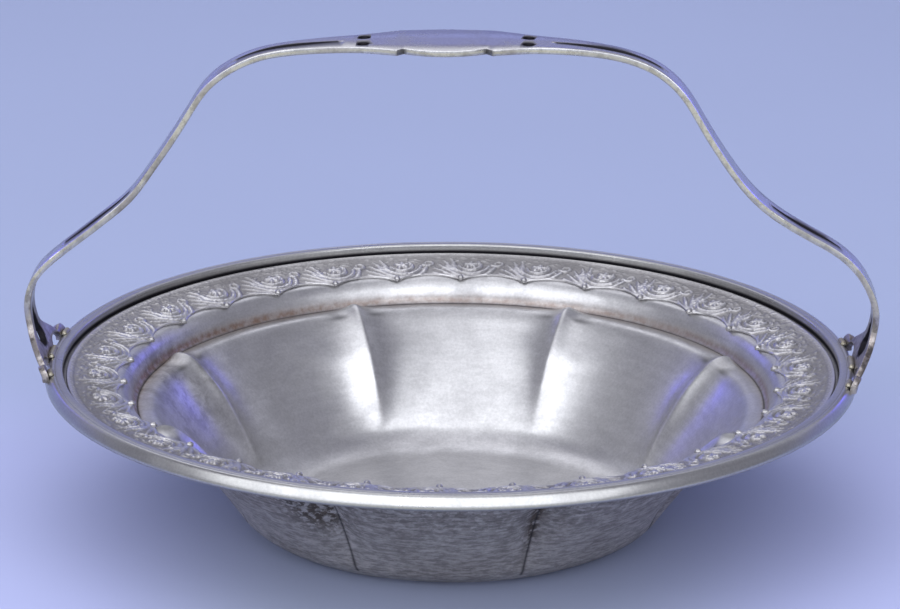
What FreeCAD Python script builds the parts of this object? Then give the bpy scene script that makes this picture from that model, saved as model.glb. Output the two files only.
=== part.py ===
import FreeCAD, Part

import math
import os

# A round silver basket with a fixed upright handle.
# The origin is the middle of the flat base, on the table.
# X runs along the handle's span, Y is the front to back way and Z is up.
# Every length is in millimetres. A name that ends in share or shares has no unit.

Vec = FreeCAD.Vector

# Driving sizes of the whole basket

rim_radius = 133.0
rim_height = 53.0
sheet = 1.0
handle_rise = 109.8
overrun = 3.0

# Rim wire, a plain moulding that laps the edge of the flange

wire_width = 5.8
wire_above = 2.3
wire_below = 2.4
wire_lap = 2.6
wire_lip = 1.9
wire_step = 0.35
wire_side_above = 0.7
wire_side_below = 0.8
wire_foot = 0.9
wire_round = 0.5

# Flange and shoulder of the bowl

flange_edge_drop = 0.5
flange_fall_share = 0.165
shoulder_start = 26.0
mouth_inset = 35.0
mouth_drop = 10.6
web_drop = 9.0
mouth_ledge = 0.5

# Well of the bowl, eight lobed panels that fade out on a flat base

panel_count = 8
wall_angle = math.radians(38.0)
wall_top = 2.9
base_corner = 17.0
rib_depth = 6.6
rib_fade_power = 1.8
lip_fade_power = 3
well_level_shares = (-0.06, 0.0, 0.06, 0.12, 0.22, 0.43, 0.66, 0.84, 1.0)

# Border band, a die rolled strip with a scalloped inner edge and a bead at each cusp

band_thickness = 0.9
band_gap = 1.2
band_width = 20.0
scallop_count = 30
scallop_rise = 3.8
fillet_width = 1.1
fillet_height = 0.5
bead_radius = 1.25
bead_inset = 1.5
bead_sink = 0.3

# Handle, a flat strap bent into a bow, with a plaque at the top

strap_thickness = 2.1
handle_overhang = 4.5
crown_shift = 1.9
terminal_top = 20.0
plaque_half_length = 13.2
plaque_half_width = 14.2
plaque_end_half_width = 10.6
cusp_length = 2.0
cusp_half_width = 13.6
strap_half_width = 6.9
strap_end_half_width = 6.2

# Path of the strap's outer face on each side, from the top to the terminal.
# Each row is a share of the half span and a share of the rise. The bow was bent by hand,
# so its two flanks differ a little.

left_path_shares = (
    (0.100, 0.999),
    (0.215, 0.995),
    (0.358, 0.981),
    (0.451, 0.958),
    (0.516, 0.920),
    (0.570, 0.865),
    (0.616, 0.779),
    (0.659, 0.692),
    (0.706, 0.604),
    (0.752, 0.526),
    (0.810, 0.460),
    (0.874, 0.395),
    (0.938, 0.330),
    (0.980, 0.270),
    (0.996, 0.218),
)
right_path_shares = (
    (0.100, 1.001),
    (0.215, 0.997),
    (0.344, 0.982),
    (0.430, 0.956),
    (0.487, 0.920),
    (0.541, 0.856),
    (0.587, 0.763),
    (0.634, 0.668),
    (0.677, 0.592),
    (0.724, 0.528),
    (0.781, 0.474),
    (0.845, 0.426),
    (0.910, 0.376),
    (0.956, 0.319),
    (0.983, 0.261),
    (0.996, 0.215),
)

# Plan of the strap past the plaque's cusps: the share of the half span and of the strap's half width

plan_shares = (
    (0.140, 1.62),
    (0.190, 1.26),
    (0.245, 1.06),
    (0.310, 0.92),
    (0.400, 0.82),
    (0.490, 0.88),
    (0.580, 0.98),
    (0.650, 1.00),
    (0.740, 0.90),
    (0.850, 0.84),
    (0.940, 0.84),
    (0.975, 0.88),
)

# Piercings of the strap

hole_diameter = 3.6
hole_place_share = 0.190
hole_spread = 4.1
slot_half_width = 1.3
upper_slot_shares = (0.252, 0.492)
lower_slot_shares = (0.748, 0.905)

# Terminals, where the strap flares into three lobes that are coped to the rim wire and soldered

terminal_lean_shares = ((1.0, 1.0), (0.70, 0.88), (0.475, 0.67), (0.30, 0.37), (0.16, 0.11))
terminal_inset = 1.1
terminal_foot = 0.2
terminal_seat = 1.8
flare_shares = ((0.71, 0.255), (0.58, 0.295), (0.42, 0.44), (0.27, 0.63))
terminal_half_width = 25.0
lobe_radius = 3.2
lobe_rise = 1.1
notch_half_width = 17.8
notch_height = 3.2
tongue_half_width = 7.0
arch_height = 3.6
arch_foot_inset = 1.6
teardrop_bottom = 4.2
teardrop_top = 18.0
teardrop_half_width = 4.5

# Solder that joins the terminals to the rim wire

solder_radius = 1.1
solder_inset = 1.9
solder_height = 2.3
tongue_solder_length = 9.0
lobe_solder_length = 3.4

# Places that follow from the sizes above

wire_inner = rim_radius - wire_width
flange_edge = wire_inner + wire_lap + wire_foot - wire_round
flange_edge_height = rim_height - flange_edge_drop
band_outer = wire_inner - band_gap
cusp_radius = band_outer - band_width
shoulder_radius = rim_radius - shoulder_start
mouth_radius = rim_radius - mouth_inset
mouth_height = rim_height - mouth_drop
web_height = rim_height - web_drop
wall_start = mouth_radius - wall_top
wall_start_height = mouth_height - wall_top
handle_half_span = rim_radius + strap_thickness + handle_overhang
terminal_top_height = rim_height + terminal_top


def flange_top(radius):
    """Height of the flange's upper face, a shallow cone that falls towards the middle."""
    return flange_edge_height - (flange_edge - radius) * flange_fall_share


def polyline(points):
    """Closed face in the XZ plane through the points, with straight sides."""
    wire = Part.makePolygon([Vec(x, 0, z) for x, z in points] + [Vec(points[0][0], 0, points[0][1])])
    return Part.Face(wire)


def line(a, b):
    """Straight edge between two points of the XZ plane."""
    return Part.LineSegment(Vec(a[0], 0, a[1]), Vec(b[0], 0, b[1])).toShape()


def arc(a, mid, b):
    """Arc edge through three points of the XZ plane."""
    return Part.Arc(Vec(a[0], 0, a[1]), Vec(mid[0], 0, mid[1]), Vec(b[0], 0, b[1])).toShape()


def spun(face):
    """Solid of revolution of a face of the XZ plane about the Z axis."""
    return face.revolve(Vec(0, 0, 0), Vec(0, 0, 1), 360)


def on_circle(centre, radius, angle):
    """Point of the XZ plane at an angle on a circle."""
    return centre[0] + radius * math.cos(angle), centre[1] + radius * math.sin(angle)


def polar(radius, angle, height):
    """Point at a radius and an angle from the X axis, at a height."""
    return Vec(radius * math.cos(angle), radius * math.sin(angle), height)


# Bowl body

def shoulder_centre():
    """Centre and radius of the shoulder's section, tangent to the flange, ending at the mouth."""
    fall = math.atan(flange_fall_share)
    start = (shoulder_radius, flange_top(shoulder_radius))
    normal = (math.sin(fall), -math.cos(fall))
    across = (mouth_radius - start[0], mouth_height - start[1])
    reach = across[0] * normal[0] + across[1] * normal[1]
    radius = (across[0] ** 2 + across[1] ** 2) / (2 * reach)
    return (start[0] + radius * normal[0], start[1] + radius * normal[1]), radius, fall


def shoulder_solid(inset, floor):
    """Disc under the flange's and shoulder's face, moved down by the inset, with a flat floor."""
    centre, radius, fall = shoulder_centre()
    section = radius - inset
    end_angle = math.pi - math.asin((floor - centre[1]) / section)
    start_angle = math.pi / 2 + fall
    start = on_circle(centre, section, start_angle)
    middle = on_circle(centre, section, (start_angle + end_angle) / 2)
    end = on_circle(centre, section, end_angle)
    edge_height = start[1] + (flange_edge - start[0]) * flange_fall_share
    top = flange_edge_height + (sheet if inset == 0 else 0)
    edges = [
        line((0, floor), end),
        arc(end, middle, start),
        line(start, (flange_edge, edge_height)),
        line((flange_edge, edge_height), (flange_edge, top)),
        line((flange_edge, top), (0, top)),
        line((0, top), (0, floor)),
    ]
    edges = [edge for edge in edges if edge.Length > sheet / 100]
    return spun(Part.Face(Part.Wire(edges))), end[0]


def wall_line(height, inset):
    """Radius of the wall at a panel's middle, for the outer face moved in by the inset."""
    outer = wall_start + (height - wall_start_height) * math.tan(wall_angle)
    return outer + (sheet - inset) / math.cos(wall_angle)


def corner_centre():
    """Centre of the round corner between the wall and the flat base."""
    height = base_corner
    radius = wall_line(height, 0) - base_corner / math.cos(wall_angle)
    return radius, height


def lobed_wire(middle, rib, height):
    """Closed wire of equal arcs, through the panels' middles and meeting at the ribs."""
    step = 2 * math.pi / panel_count
    edges = []
    for number in range(panel_count):
        centre_angle = math.pi / 2 + number * step
        edges.append(Part.Arc(
            polar(rib, centre_angle - step / 2, height),
            polar(middle, centre_angle, height),
            polar(rib, centre_angle + step / 2, height)).toShape())
    return Part.Wire(edges)


def well_solid(inset, top, top_radius):
    """Lobed well down to where its ribs fade out, on a dish with a flat bottom."""
    corner_radius, corner_height = corner_centre()
    section = base_corner - inset
    low = corner_height - section * math.sin(wall_angle)
    low_radius = corner_radius + section * math.cos(wall_angle)
    lip = top_radius - mouth_ledge - wall_line(top, inset)
    wires = []
    for share in well_level_shares:
        height = top + (low - top) * share
        middle = wall_line(height, inset) + lip * (1 - share) ** lip_fade_power
        rib = middle - rib_depth * (1 - max(share, 0) ** rib_fade_power)
        wires.append(lobed_wire(middle, rib, height))
    lobes = Part.makeLoft(wires, True, False)
    bottom = corner_height - section
    middle_angle = -(wall_angle + math.pi / 2) / 2
    dish = spun(Part.Face(Part.Wire([
        line((0, low), (low_radius, low)),
        arc((low_radius, low), on_circle((corner_radius, corner_height), section, middle_angle),
            (corner_radius, bottom)),
        line((corner_radius, bottom), (0, bottom)),
        line((0, bottom), (0, low)),
    ])))
    return lobes.fuse(dish)


def make_bowl_body():
    """One sheet: flange, rounded shoulder, eight lobed panels and a flat base."""
    outside, outer_mouth = shoulder_solid(sheet, web_height - sheet)
    inside, inner_mouth = shoulder_solid(0, web_height)
    outside = outside.fuse(well_solid(0, web_height - sheet, outer_mouth))
    inside = inside.fuse(well_solid(sheet, web_height, inner_mouth))
    return outside.cut(inside).removeSplitter()


# Rim wire

def make_rim_wire():
    """Moulding with a flat lip, a fine step and a rounded outer side, lapping the flange's edge."""
    top = rim_height + wire_above
    foot = rim_height - wire_below
    side_top = rim_height + wire_side_above
    side_foot = rim_height - wire_side_below
    lip_end = wire_inner + wire_round + wire_lip
    step_end = lip_end + wire_step
    foot_radius = flange_edge + wire_foot
    flange_foot = flange_edge_height - sheet
    slack = math.sqrt(0.5)
    upper_mid = (step_end + (rim_radius - step_end) * slack, side_top + (top - side_top) * slack)
    lower_mid = (foot_radius + (rim_radius - foot_radius) * slack, side_foot - (side_foot - foot) * slack)
    round_mid = (wire_inner + wire_round * (1 - slack), top - wire_round * (1 - slack))
    edges = [
        line((wire_inner, flange_top(wire_inner)), (wire_inner, top - wire_round)),
        arc((wire_inner, top - wire_round), round_mid, (wire_inner + wire_round, top)),
        line((wire_inner + wire_round, top), (lip_end, top)),
        line((lip_end, top), (lip_end + wire_step / 2, top - wire_step)),
        line((lip_end + wire_step / 2, top - wire_step), (step_end, top)),
        arc((step_end, top), upper_mid, (rim_radius, side_top)),
        line((rim_radius, side_top), (rim_radius, side_foot)),
        arc((rim_radius, side_foot), lower_mid, (foot_radius, foot)),
        line((foot_radius, foot), (flange_edge, flange_foot)),
        line((flange_edge, flange_foot), (flange_edge, flange_edge_height)),
        line((flange_edge, flange_edge_height), (wire_inner, flange_top(wire_inner))),
    ]
    return spun(Part.Face(Part.Wire(edges)))


# Border band

def scallop_circle():
    """Distance from the axis and radius of the circle that cuts each scallop."""
    half = math.pi / scallop_count
    half_chord = cusp_radius * math.sin(half)
    sagitta = cusp_radius * (1 - math.cos(half)) + scallop_rise
    radius = (half_chord ** 2 + sagitta ** 2) / (2 * sagitta)
    return cusp_radius + scallop_rise - radius, radius


def scallop_prism(offset):
    """Upright prism inside the scalloped edge, grown by the offset."""
    reach, radius = scallop_circle()
    grown = radius + offset
    half = math.pi / scallop_count
    cusp = reach * math.cos(half) + math.sqrt(grown ** 2 - (reach * math.sin(half)) ** 2)
    edges = []
    for number in range(scallop_count):
        angle = math.pi / 2 + (2 * number + 1) * half
        edges.append(Part.Arc(
            polar(cusp, angle - half, 0), polar(reach + grown, angle, 0), polar(cusp, angle + half, 0)).toShape())
    return Part.Face(Part.Wire(edges)).extrude(Vec(0, 0, rim_height + wire_above))


def band_ring(inner, outer, low, high):
    """Conical ring that follows the flange between two radii and two heights above it."""
    return spun(polyline([
        (inner, flange_top(inner) + low), (outer, flange_top(outer) + low),
        (outer, flange_top(outer) + high), (inner, flange_top(inner) + high)]))


def make_border_band():
    """Scalloped strip with a raised fillet along its edge and a bead at each cusp."""
    inner = cusp_radius - bead_inset
    band = band_ring(inner, band_outer, 0, band_thickness + fillet_height).cut(scallop_prism(0))
    trough = band_ring(inner - overrun, band_outer + overrun, band_thickness, band_thickness + overrun)
    band = band.cut(trough.cut(scallop_prism(fillet_width)))
    beads = []
    for number in range(scallop_count):
        angle = math.pi / 2 + number * 2 * math.pi / scallop_count
        radius = cusp_radius + bead_inset
        height = flange_top(radius) + band_thickness + fillet_height - bead_sink
        beads.append(Part.makeSphere(bead_radius, polar(radius, angle, height)))
    below = band_ring(inner - overrun, band_outer, -overrun, 0)
    return band.fuse(beads).cut(below)


# Handle

def path_points(side):
    """Points of the strap's outer face on one side, from the top to the terminal."""
    points = []
    for along, rise in (right_path_shares if side > 0 else left_path_shares):
        points.append(Vec(side * along * handle_half_span, 0, rim_height + rise * handle_rise))
    points.append(Vec(side * handle_half_span, 0, terminal_top_height))
    points.append(Vec(side * handle_half_span, 0, terminal_top_height - overrun))
    return points


def bow_curves():
    """Outer and inner curve of the strap in the XZ plane, a strap's thickness apart."""
    left = path_points(-1)
    right = path_points(1)
    crown = Vec(-crown_shift, 0, rim_height + handle_rise)
    points = list(reversed(left)) + [crown] + right
    outer = Part.BSplineCurve()
    outer.interpolate(Points=points)
    inner_points = []
    for point in points:
        tangent = outer.tangent(outer.parameter(point))[0]
        inner_points.append(point + Vec(tangent.z, 0, -tangent.x) * strap_thickness)
    inner = Part.BSplineCurve()
    inner.interpolate(Points=inner_points)
    return outer.toShape(), inner.toShape()


def bow_band():
    """The bent strap as a plain band, as wide as its plaque."""
    outer, inner = bow_curves()
    joins = [Part.LineSegment(outer.Vertexes[end].Point, inner.Vertexes[end].Point).toShape() for end in (0, 1)]
    face = Part.Face(Part.Wire(Part.sortEdges([outer, joins[0], inner, joins[1]])[0]))
    face.translate(Vec(0, -plaque_half_width - overrun, 0))
    return face.extrude(Vec(0, 2 * (plaque_half_width + overrun), 0))


def plan_edge(side, front):
    """Edges of the plan from the plaque's middle out to the terminal, on one side."""
    shift = -crown_shift
    corner = Vec(shift + side * plaque_half_length, front * plaque_end_half_width, 0)
    cusp = Vec(corner.x, front * cusp_half_width, 0)
    tip = Vec(corner.x + side * cusp_length, front * cusp_half_width, 0)
    points = [tip]
    for along, width in plan_shares:
        points.append(Vec(shift * (1 - along) + side * along * handle_half_span,
                          front * width * strap_half_width, 0))
    end = Vec(side * (handle_half_span + overrun), front * strap_end_half_width, 0)
    points.append(Vec(side * handle_half_span, front * strap_end_half_width, 0))
    curve = Part.BSplineCurve()
    curve.interpolate(Points=points)
    return [
        Part.LineSegment(corner, cusp).toShape(),
        Part.LineSegment(cusp, tip).toShape(),
        curve.toShape(),
        Part.LineSegment(points[-1], end).toShape(),
    ], corner, end


def plan_prism():
    """Upright prism of the strap's plan, plaque and all."""
    edges = []
    shift = -crown_shift
    ends = {}
    for front in (-1, 1):
        corners = []
        for side in (-1, 1):
            run, corner, end = plan_edge(side, front)
            edges += run
            corners.append(corner)
            ends[(side, front)] = end
        crown = Vec(shift, front * plaque_half_width, 0)
        edges.append(Part.Arc(corners[0], crown, corners[1]).toShape())
    for side in (-1, 1):
        edges.append(Part.LineSegment(ends[(side, -1)], ends[(side, 1)]).toShape())
    face = Part.Face(Part.Wire(Part.sortEdges(edges)[0]))
    face.translate(Vec(0, 0, terminal_top_height))
    return face.extrude(Vec(0, 0, rim_height + handle_rise + overrun - terminal_top_height))


def slot_prism(side, shares):
    """Upright prism of a long slot with pointed ends along the strap."""
    shift = -crown_shift
    start = shift + side * shares[0] * handle_half_span
    end = shift * (1 - shares[1]) + side * shares[1] * handle_half_span
    middle = (start + end) / 2
    front = Part.Arc(Vec(start, 0, 0), Vec(middle, -slot_half_width, 0), Vec(end, 0, 0)).toShape()
    back = Part.Arc(Vec(end, 0, 0), Vec(middle, slot_half_width, 0), Vec(start, 0, 0)).toShape()
    return Part.Face(Part.Wire([front, back])).extrude(Vec(0, 0, rim_height + handle_rise + overrun))


def strap_cuts():
    """Round holes beside the plaque and long slots in the shoulders and flanks."""
    shift = -crown_shift
    tall = rim_height + handle_rise + overrun
    cuts = []
    for side in (-1, 1):
        for front in (-1, 1):
            place = Vec(shift + side * hole_place_share * handle_half_span, front * hole_spread, 0)
            cuts.append(Part.makeCylinder(hole_diameter / 2, tall, place))
        cuts.append(slot_prism(side, upper_slot_shares))
        cuts.append(slot_prism(side, lower_slot_shares))
    return cuts


def terminal_shell():
    """Ring that leans out from the rim wire to the strap, as thick as the strap."""
    seat_radius = rim_radius - terminal_inset
    reach = handle_half_span - strap_thickness - seat_radius
    foot = Vec(seat_radius, 0, rim_height + terminal_foot)
    seat = Vec(seat_radius, 0, rim_height + terminal_seat)
    points = [seat]
    for rise, lean in reversed(terminal_lean_shares):
        points.append(Vec(seat_radius + lean * reach, 0, rim_height + rise * terminal_top))
    points.append(points[-1] + Vec(0, 0, overrun))
    curves = []
    for offset in (0, strap_thickness):
        moved = [point + Vec(offset, 0, 0) for point in points]
        curve = Part.BSplineCurve()
        curve.interpolate(Points=moved)
        upright = Part.LineSegment(foot + Vec(offset, 0, 0), moved[0]).toShape()
        curves.append((upright, curve.toShape(), foot + Vec(offset, 0, 0), moved[-1]))
    low = Part.LineSegment(curves[0][2], curves[1][2]).toShape()
    high = Part.LineSegment(curves[0][3], curves[1][3]).toShape()
    wire = Part.Wire(Part.sortEdges([curves[0][0], curves[0][1], high, curves[1][1], curves[1][0], low])[0])
    shell = spun(Part.Face(wire))
    shell.rotate(Vec(0, 0, 0), Vec(0, 0, 1), 90)
    return shell


def side_point(y, z):
    """Point of the outline seen along X, with its height above the rim's middle."""
    return Vec(0, y, rim_height + z)


def side_line(a, b):
    """Straight edge between two points of the side outline."""
    return Part.LineSegment(side_point(*a), side_point(*b)).toShape()


def side_arc(a, mid, b):
    """Arc edge through three points of the side outline."""
    return Part.Arc(side_point(*a), side_point(*mid), side_point(*b)).toShape()


def terminal_half_edges(front):
    """Outline of half a terminal: the flare, the notch, the lobe, its foot and the arch."""
    lobe_y = terminal_half_width - lobe_radius
    lobe_left = lobe_y - lobe_radius
    arch_out = lobe_left + arch_foot_inset / 2
    arch_in = tongue_half_width
    foot = terminal_foot
    flare = [side_point(front * strap_end_half_width, terminal_top)]
    for rise, width in flare_shares:
        flare.append(side_point(front * width * terminal_half_width, rise * terminal_top))
    curve = Part.BSplineCurve()
    curve.interpolate(Points=flare)
    flare_end = (front * flare_shares[-1][1] * terminal_half_width, flare_shares[-1][0] * terminal_top)
    notch = (front * notch_half_width, notch_height)
    lobe_top = (front * lobe_y, lobe_rise + lobe_radius)
    lobe_side = (front * terminal_half_width, lobe_rise)
    slack = lobe_radius * math.sqrt(0.5)
    edges = [
        curve.toShape(),
        side_line(flare_end, notch),
        side_line(notch, lobe_top),
        side_arc(lobe_top, (front * (lobe_y + slack), lobe_rise + slack), lobe_side),
        side_line(lobe_side, (front * terminal_half_width, foot)),
        side_line((front * terminal_half_width, foot), (front * arch_out, foot)),
        side_arc((front * arch_out, foot), (front * (arch_out + arch_in) / 2, arch_height), (front * arch_in, foot)),
        side_line((front * arch_in, foot), (0, foot)),
    ]
    return edges


def teardrop():
    """Prism of the teardrop opening between the strap's two strands."""
    round_centre = teardrop_bottom + teardrop_half_width
    slack = teardrop_half_width * math.sqrt(0.5)
    edges = [
        side_line((0, teardrop_top), (teardrop_half_width, round_centre)),
        side_arc((teardrop_half_width, round_centre), (slack, round_centre - slack), (0, teardrop_bottom)),
        side_arc((0, teardrop_bottom), (-slack, round_centre - slack), (-teardrop_half_width, round_centre)),
        side_line((-teardrop_half_width, round_centre), (0, teardrop_top)),
    ]
    return Part.Face(Part.Wire(edges)).extrude(Vec(handle_half_span + overrun, 0, 0))


def make_terminal(shell, rim_wire):
    """Terminal on the +X side, cut from the leaning ring by its side outline and coped to the wire."""
    top = Part.LineSegment(side_point(-strap_end_half_width, terminal_top),
                           side_point(strap_end_half_width, terminal_top)).toShape()
    edges = terminal_half_edges(-1) + terminal_half_edges(1) + [top]
    face = Part.Face(Part.Wire(Part.sortEdges(edges)[0]))
    prism = face.extrude(Vec(handle_half_span + overrun, 0, 0))
    return shell.common(prism).cut(teardrop()).cut(rim_wire)


def make_handle(rim_wire):
    """Strap, plaque and both terminals in one piece."""
    strap = bow_band().common(plan_prism())
    strap = strap.cut(Part.makeCompound(strap_cuts()))
    terminal = make_terminal(terminal_shell(), rim_wire)
    other = terminal.copy()
    other.rotate(Vec(0, 0, 0), Vec(0, 0, 1), 180)
    return strap.fuse([terminal, other]).removeSplitter()


# Solder

def solder_bead(middle, length):
    """Rounded bead of solder that follows the rim over a length, about an angle."""
    radius = rim_radius - solder_inset
    sweep = length / radius
    bead = Part.makeTorus(radius, solder_radius, Vec(0, 0, 0), Vec(0, 0, 1), 0, 360, math.degrees(sweep))
    bead.rotate(Vec(0, 0, 0), Vec(0, 0, 1), math.degrees(middle - sweep / 2))
    bead.translate(Vec(0, 0, rim_height + solder_height))
    for end in (-sweep / 2, sweep / 2):
        bead = bead.fuse(Part.makeSphere(solder_radius, polar(radius, middle + end, rim_height + solder_height)))
    return bead


def make_solder(side_angle, rim_wire, handle):
    """Three fillets of solder under one terminal, shaped by the wire and the handle that they join."""
    lobe_angle = math.asin((terminal_half_width - lobe_radius) / rim_radius)
    beads = []
    for middle, length in (
            (-lobe_angle, lobe_solder_length), (0, tongue_solder_length), (lobe_angle, lobe_solder_length)):
        bead = solder_bead(side_angle + middle, length).cut(rim_wire).cut(handle)
        solids = sorted(bead.Solids, key=lambda solid: solid.Volume)
        beads.append(solids[-1])
    return Part.makeCompound(beads)


def save(name, shape):
    """Write one piece to its file and say what it holds."""
    shape.exportStep(os.path.join("parts", name + ".step"))
    print(name, "solids", len(shape.Solids), "volume", round(shape.Volume), "valid", shape.isValid(),
          "faces", len(shape.Faces))


def main():
    """Build every piece and write it to its file."""
    os.makedirs("parts", exist_ok=True)
    rim_wire = make_rim_wire()
    handle = make_handle(rim_wire)
    save("bowl_body", make_bowl_body())
    save("border_band", make_border_band())
    save("rim_wire", rim_wire)
    save("handle", handle)
    save("solder_right", make_solder(0, rim_wire, handle))
    save("solder_left", make_solder(math.pi, rim_wire, handle))


if __name__ == "__main__":
    main()
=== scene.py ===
import enum
import logging
import math
from collections.abc import Collection
from dataclasses import dataclass

import bmesh
import bpy
import numpy as np
from mathutils import Matrix, Vector


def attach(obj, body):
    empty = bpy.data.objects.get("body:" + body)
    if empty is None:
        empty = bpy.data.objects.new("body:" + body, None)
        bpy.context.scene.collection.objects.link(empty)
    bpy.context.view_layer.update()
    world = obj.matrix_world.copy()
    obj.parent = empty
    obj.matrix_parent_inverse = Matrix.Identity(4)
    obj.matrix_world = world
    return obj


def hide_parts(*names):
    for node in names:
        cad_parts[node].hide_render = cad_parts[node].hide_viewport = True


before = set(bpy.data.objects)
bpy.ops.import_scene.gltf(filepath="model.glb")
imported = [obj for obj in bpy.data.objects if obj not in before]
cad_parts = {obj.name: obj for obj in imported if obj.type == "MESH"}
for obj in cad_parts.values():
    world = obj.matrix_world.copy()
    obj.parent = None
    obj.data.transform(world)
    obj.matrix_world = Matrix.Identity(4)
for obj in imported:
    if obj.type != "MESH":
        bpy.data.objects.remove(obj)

MM = 0.001
FULL_TURN = 2.0 * math.pi
LOG = logging.getLogger("silver_basket")

Pair = tuple[float, float]
Triple = tuple[float, float, float]


# Curves and small mathematics

def smooth_step(low: float, high: float, value: np.ndarray) -> np.ndarray:
    """Ease from 0 at low to 1 at high.

    Args:
        low: Value where the ease starts.
        high: Value where it ends, which may be the smaller one.
        value: Values to ease.

    Returns:
        The eased values.
    """
    t = np.clip((value - low) / (high - low), 0.0, 1.0)
    return t * t * (3.0 - 2.0 * t)


def hump(value: np.ndarray, middle: float, width: float) -> np.ndarray:
    """Share that is 1 at the middle and fades away on both sides.

    Args:
        value: Values to weigh.
        middle: Value with the full share.
        width: Distance at which about a third is left.

    Returns:
        The share at each value.
    """
    return np.exp(-((value - middle) / width) ** 2)


def run_length(line: np.ndarray) -> np.ndarray:
    """Length along a line of points, from its first point to each one."""
    return np.concatenate([[0.0], np.cumsum(np.hypot(*np.diff(line, axis=0).T))])


def cubic_spline(knots: np.ndarray, values: np.ndarray,
                 at: np.ndarray) -> tuple[np.ndarray, np.ndarray]:
    """Natural cubic spline through points.

    Args:
        knots: Rising parameter of each point.
        values: Points, one row each.
        at: Parameters to read.

    Returns:
        Positions and first derivatives at the parameters.
    """
    count = len(knots)
    h = np.diff(knots)
    matrix = np.zeros((count, count))
    right = np.zeros_like(values)
    matrix[0, 0] = matrix[-1, -1] = 1.0
    for i in range(1, count - 1):
        matrix[i, i - 1] = h[i - 1]
        matrix[i, i] = 2.0 * (h[i - 1] + h[i])
        matrix[i, i + 1] = h[i]
        right[i] = 6.0 * ((values[i + 1] - values[i]) / h[i]
                          - (values[i] - values[i - 1]) / h[i - 1])
    second = np.linalg.solve(matrix, right)
    i = np.clip(np.searchsorted(knots, at, side="right") - 1, 0, count - 2)
    a = ((knots[i + 1] - at) / h[i])[:, None]
    b = ((at - knots[i]) / h[i])[:, None]
    hi = h[i][:, None]
    place = (a * values[i] + b * values[i + 1]
             + ((a ** 3 - a) * second[i] + (b ** 3 - b) * second[i + 1]) * hi ** 2 / 6.0)
    slope = ((values[i + 1] - values[i]) / hi
             + (-(3 * a ** 2 - 1) * second[i] + (3 * b ** 2 - 1) * second[i + 1]) * hi / 6.0)
    return place, slope


def lumps(points: np.ndarray, size: float, seed: int) -> np.ndarray:
    """Gentle seeded unevenness of beaten metal, about -1 to 1.

    Args:
        points: Places, one row each.
        size: Typical width of a lump, in the places' unit.
        seed: Seed of the pattern.

    Returns:
        One value per place.
    """
    waves, spread = 14, 3.7
    rng = np.random.default_rng(seed)
    total = np.zeros(points.shape[:-1])
    for _ in range(waves):
        axis = rng.normal(size=3)
        axis *= (0.6 + 0.8 * rng.random()) * FULL_TURN / size / np.linalg.norm(axis)
        total += np.sin(points @ axis + rng.random() * FULL_TURN)
    return total / spread


# Mesh making

def link(mesh: bpy.types.Mesh, name: str) -> bpy.types.Object:
    """Put a mesh in the scene as an object at the origin.

    Args:
        mesh: The mesh.
        name: The object's name.

    Returns:
        The new object.
    """
    piece = bpy.data.objects.new(name, mesh)
    bpy.context.scene.collection.objects.link(piece)
    return piece


def smooth_shaded(mesh: bpy.types.Mesh) -> None:
    """Shade every face of a mesh smoothly."""
    mesh.polygons.foreach_set("use_smooth", [True] * len(mesh.polygons))


def around_axis(radius: np.ndarray, angle: np.ndarray, height: np.ndarray) -> np.ndarray:
    """Points round the Z axis.

    Args:
        radius: Distance from the axis.
        angle: Angle from the X axis.
        height: Height.

    Returns:
        Points, with x, y and z along the last axis.
    """
    x, y = radius * np.cos(angle), radius * np.sin(angle)
    return np.stack(np.broadcast_arrays(x, y, height), -1)


def grid_mesh(name: str, points: np.ndarray, wrap: bool = True, close_rows: bool = False,
              caps: bool = False) -> bpy.types.Mesh:
    """Mesh of a grid of points, rows along the section and columns round the axis.

    Args:
        name: The mesh's name.
        points: Places in millimetres, shaped rows, columns, 3.
        wrap: Whether the last column joins the first.
        close_rows: Whether the last row joins the first.
        caps: Whether the first and the last row are closed with a fan to their middle.

    Returns:
        The mesh, in metres and smooth shaded.
    """
    rows, columns = points.shape[:2]
    verts = points.reshape(-1, 3) * MM
    row = np.arange(rows if close_rows else rows - 1)
    column = np.arange(columns if wrap else columns - 1)
    r, c = np.meshgrid(row, column, indexing="ij")
    r2, c2 = (r + 1) % rows, (c + 1) % columns
    quads = np.stack([r * columns + c, r * columns + c2,
                      r2 * columns + c2, r2 * columns + c], -1).reshape(-1, 4)
    faces = quads.tolist()
    if caps:
        verts = np.vstack([verts, points[0].mean(0) * MM, points[-1].mean(0) * MM])
        first, last = rows * columns, rows * columns + 1
        for i in range(columns):
            j = (i + 1) % columns
            faces.append((first, j, i))
            faces.append((last, (rows - 1) * columns + i, (rows - 1) * columns + j))
    mesh = bpy.data.meshes.new(name)
    mesh.from_pydata(verts.tolist(), [], faces)
    smooth_shaded(mesh)
    mesh.update()
    return mesh


def grid_normals(points: np.ndarray) -> np.ndarray:
    """Unit normals of a grid whose columns wrap, by central differences.

    Args:
        points: The grid, shaped rows, columns, 3.

    Returns:
        One normal per point.
    """
    along = np.gradient(points, axis=0)
    around = np.roll(points, -1, axis=1) - np.roll(points, 1, axis=1)
    normal = np.cross(around, along)
    return normal / np.maximum(np.linalg.norm(normal, axis=2, keepdims=True), 1e-9)


# Finishes

class Mask(enum.Enum):
    """Masks that the pieces write on their vertices for the finishes."""

    # Oxide in hollows, and painted shade where the pieces put it
    OXIDE_AND_SHADE = "oxide_and_shade"
    TARNISH = "tarnish"
    STAIN = "stain"


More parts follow.
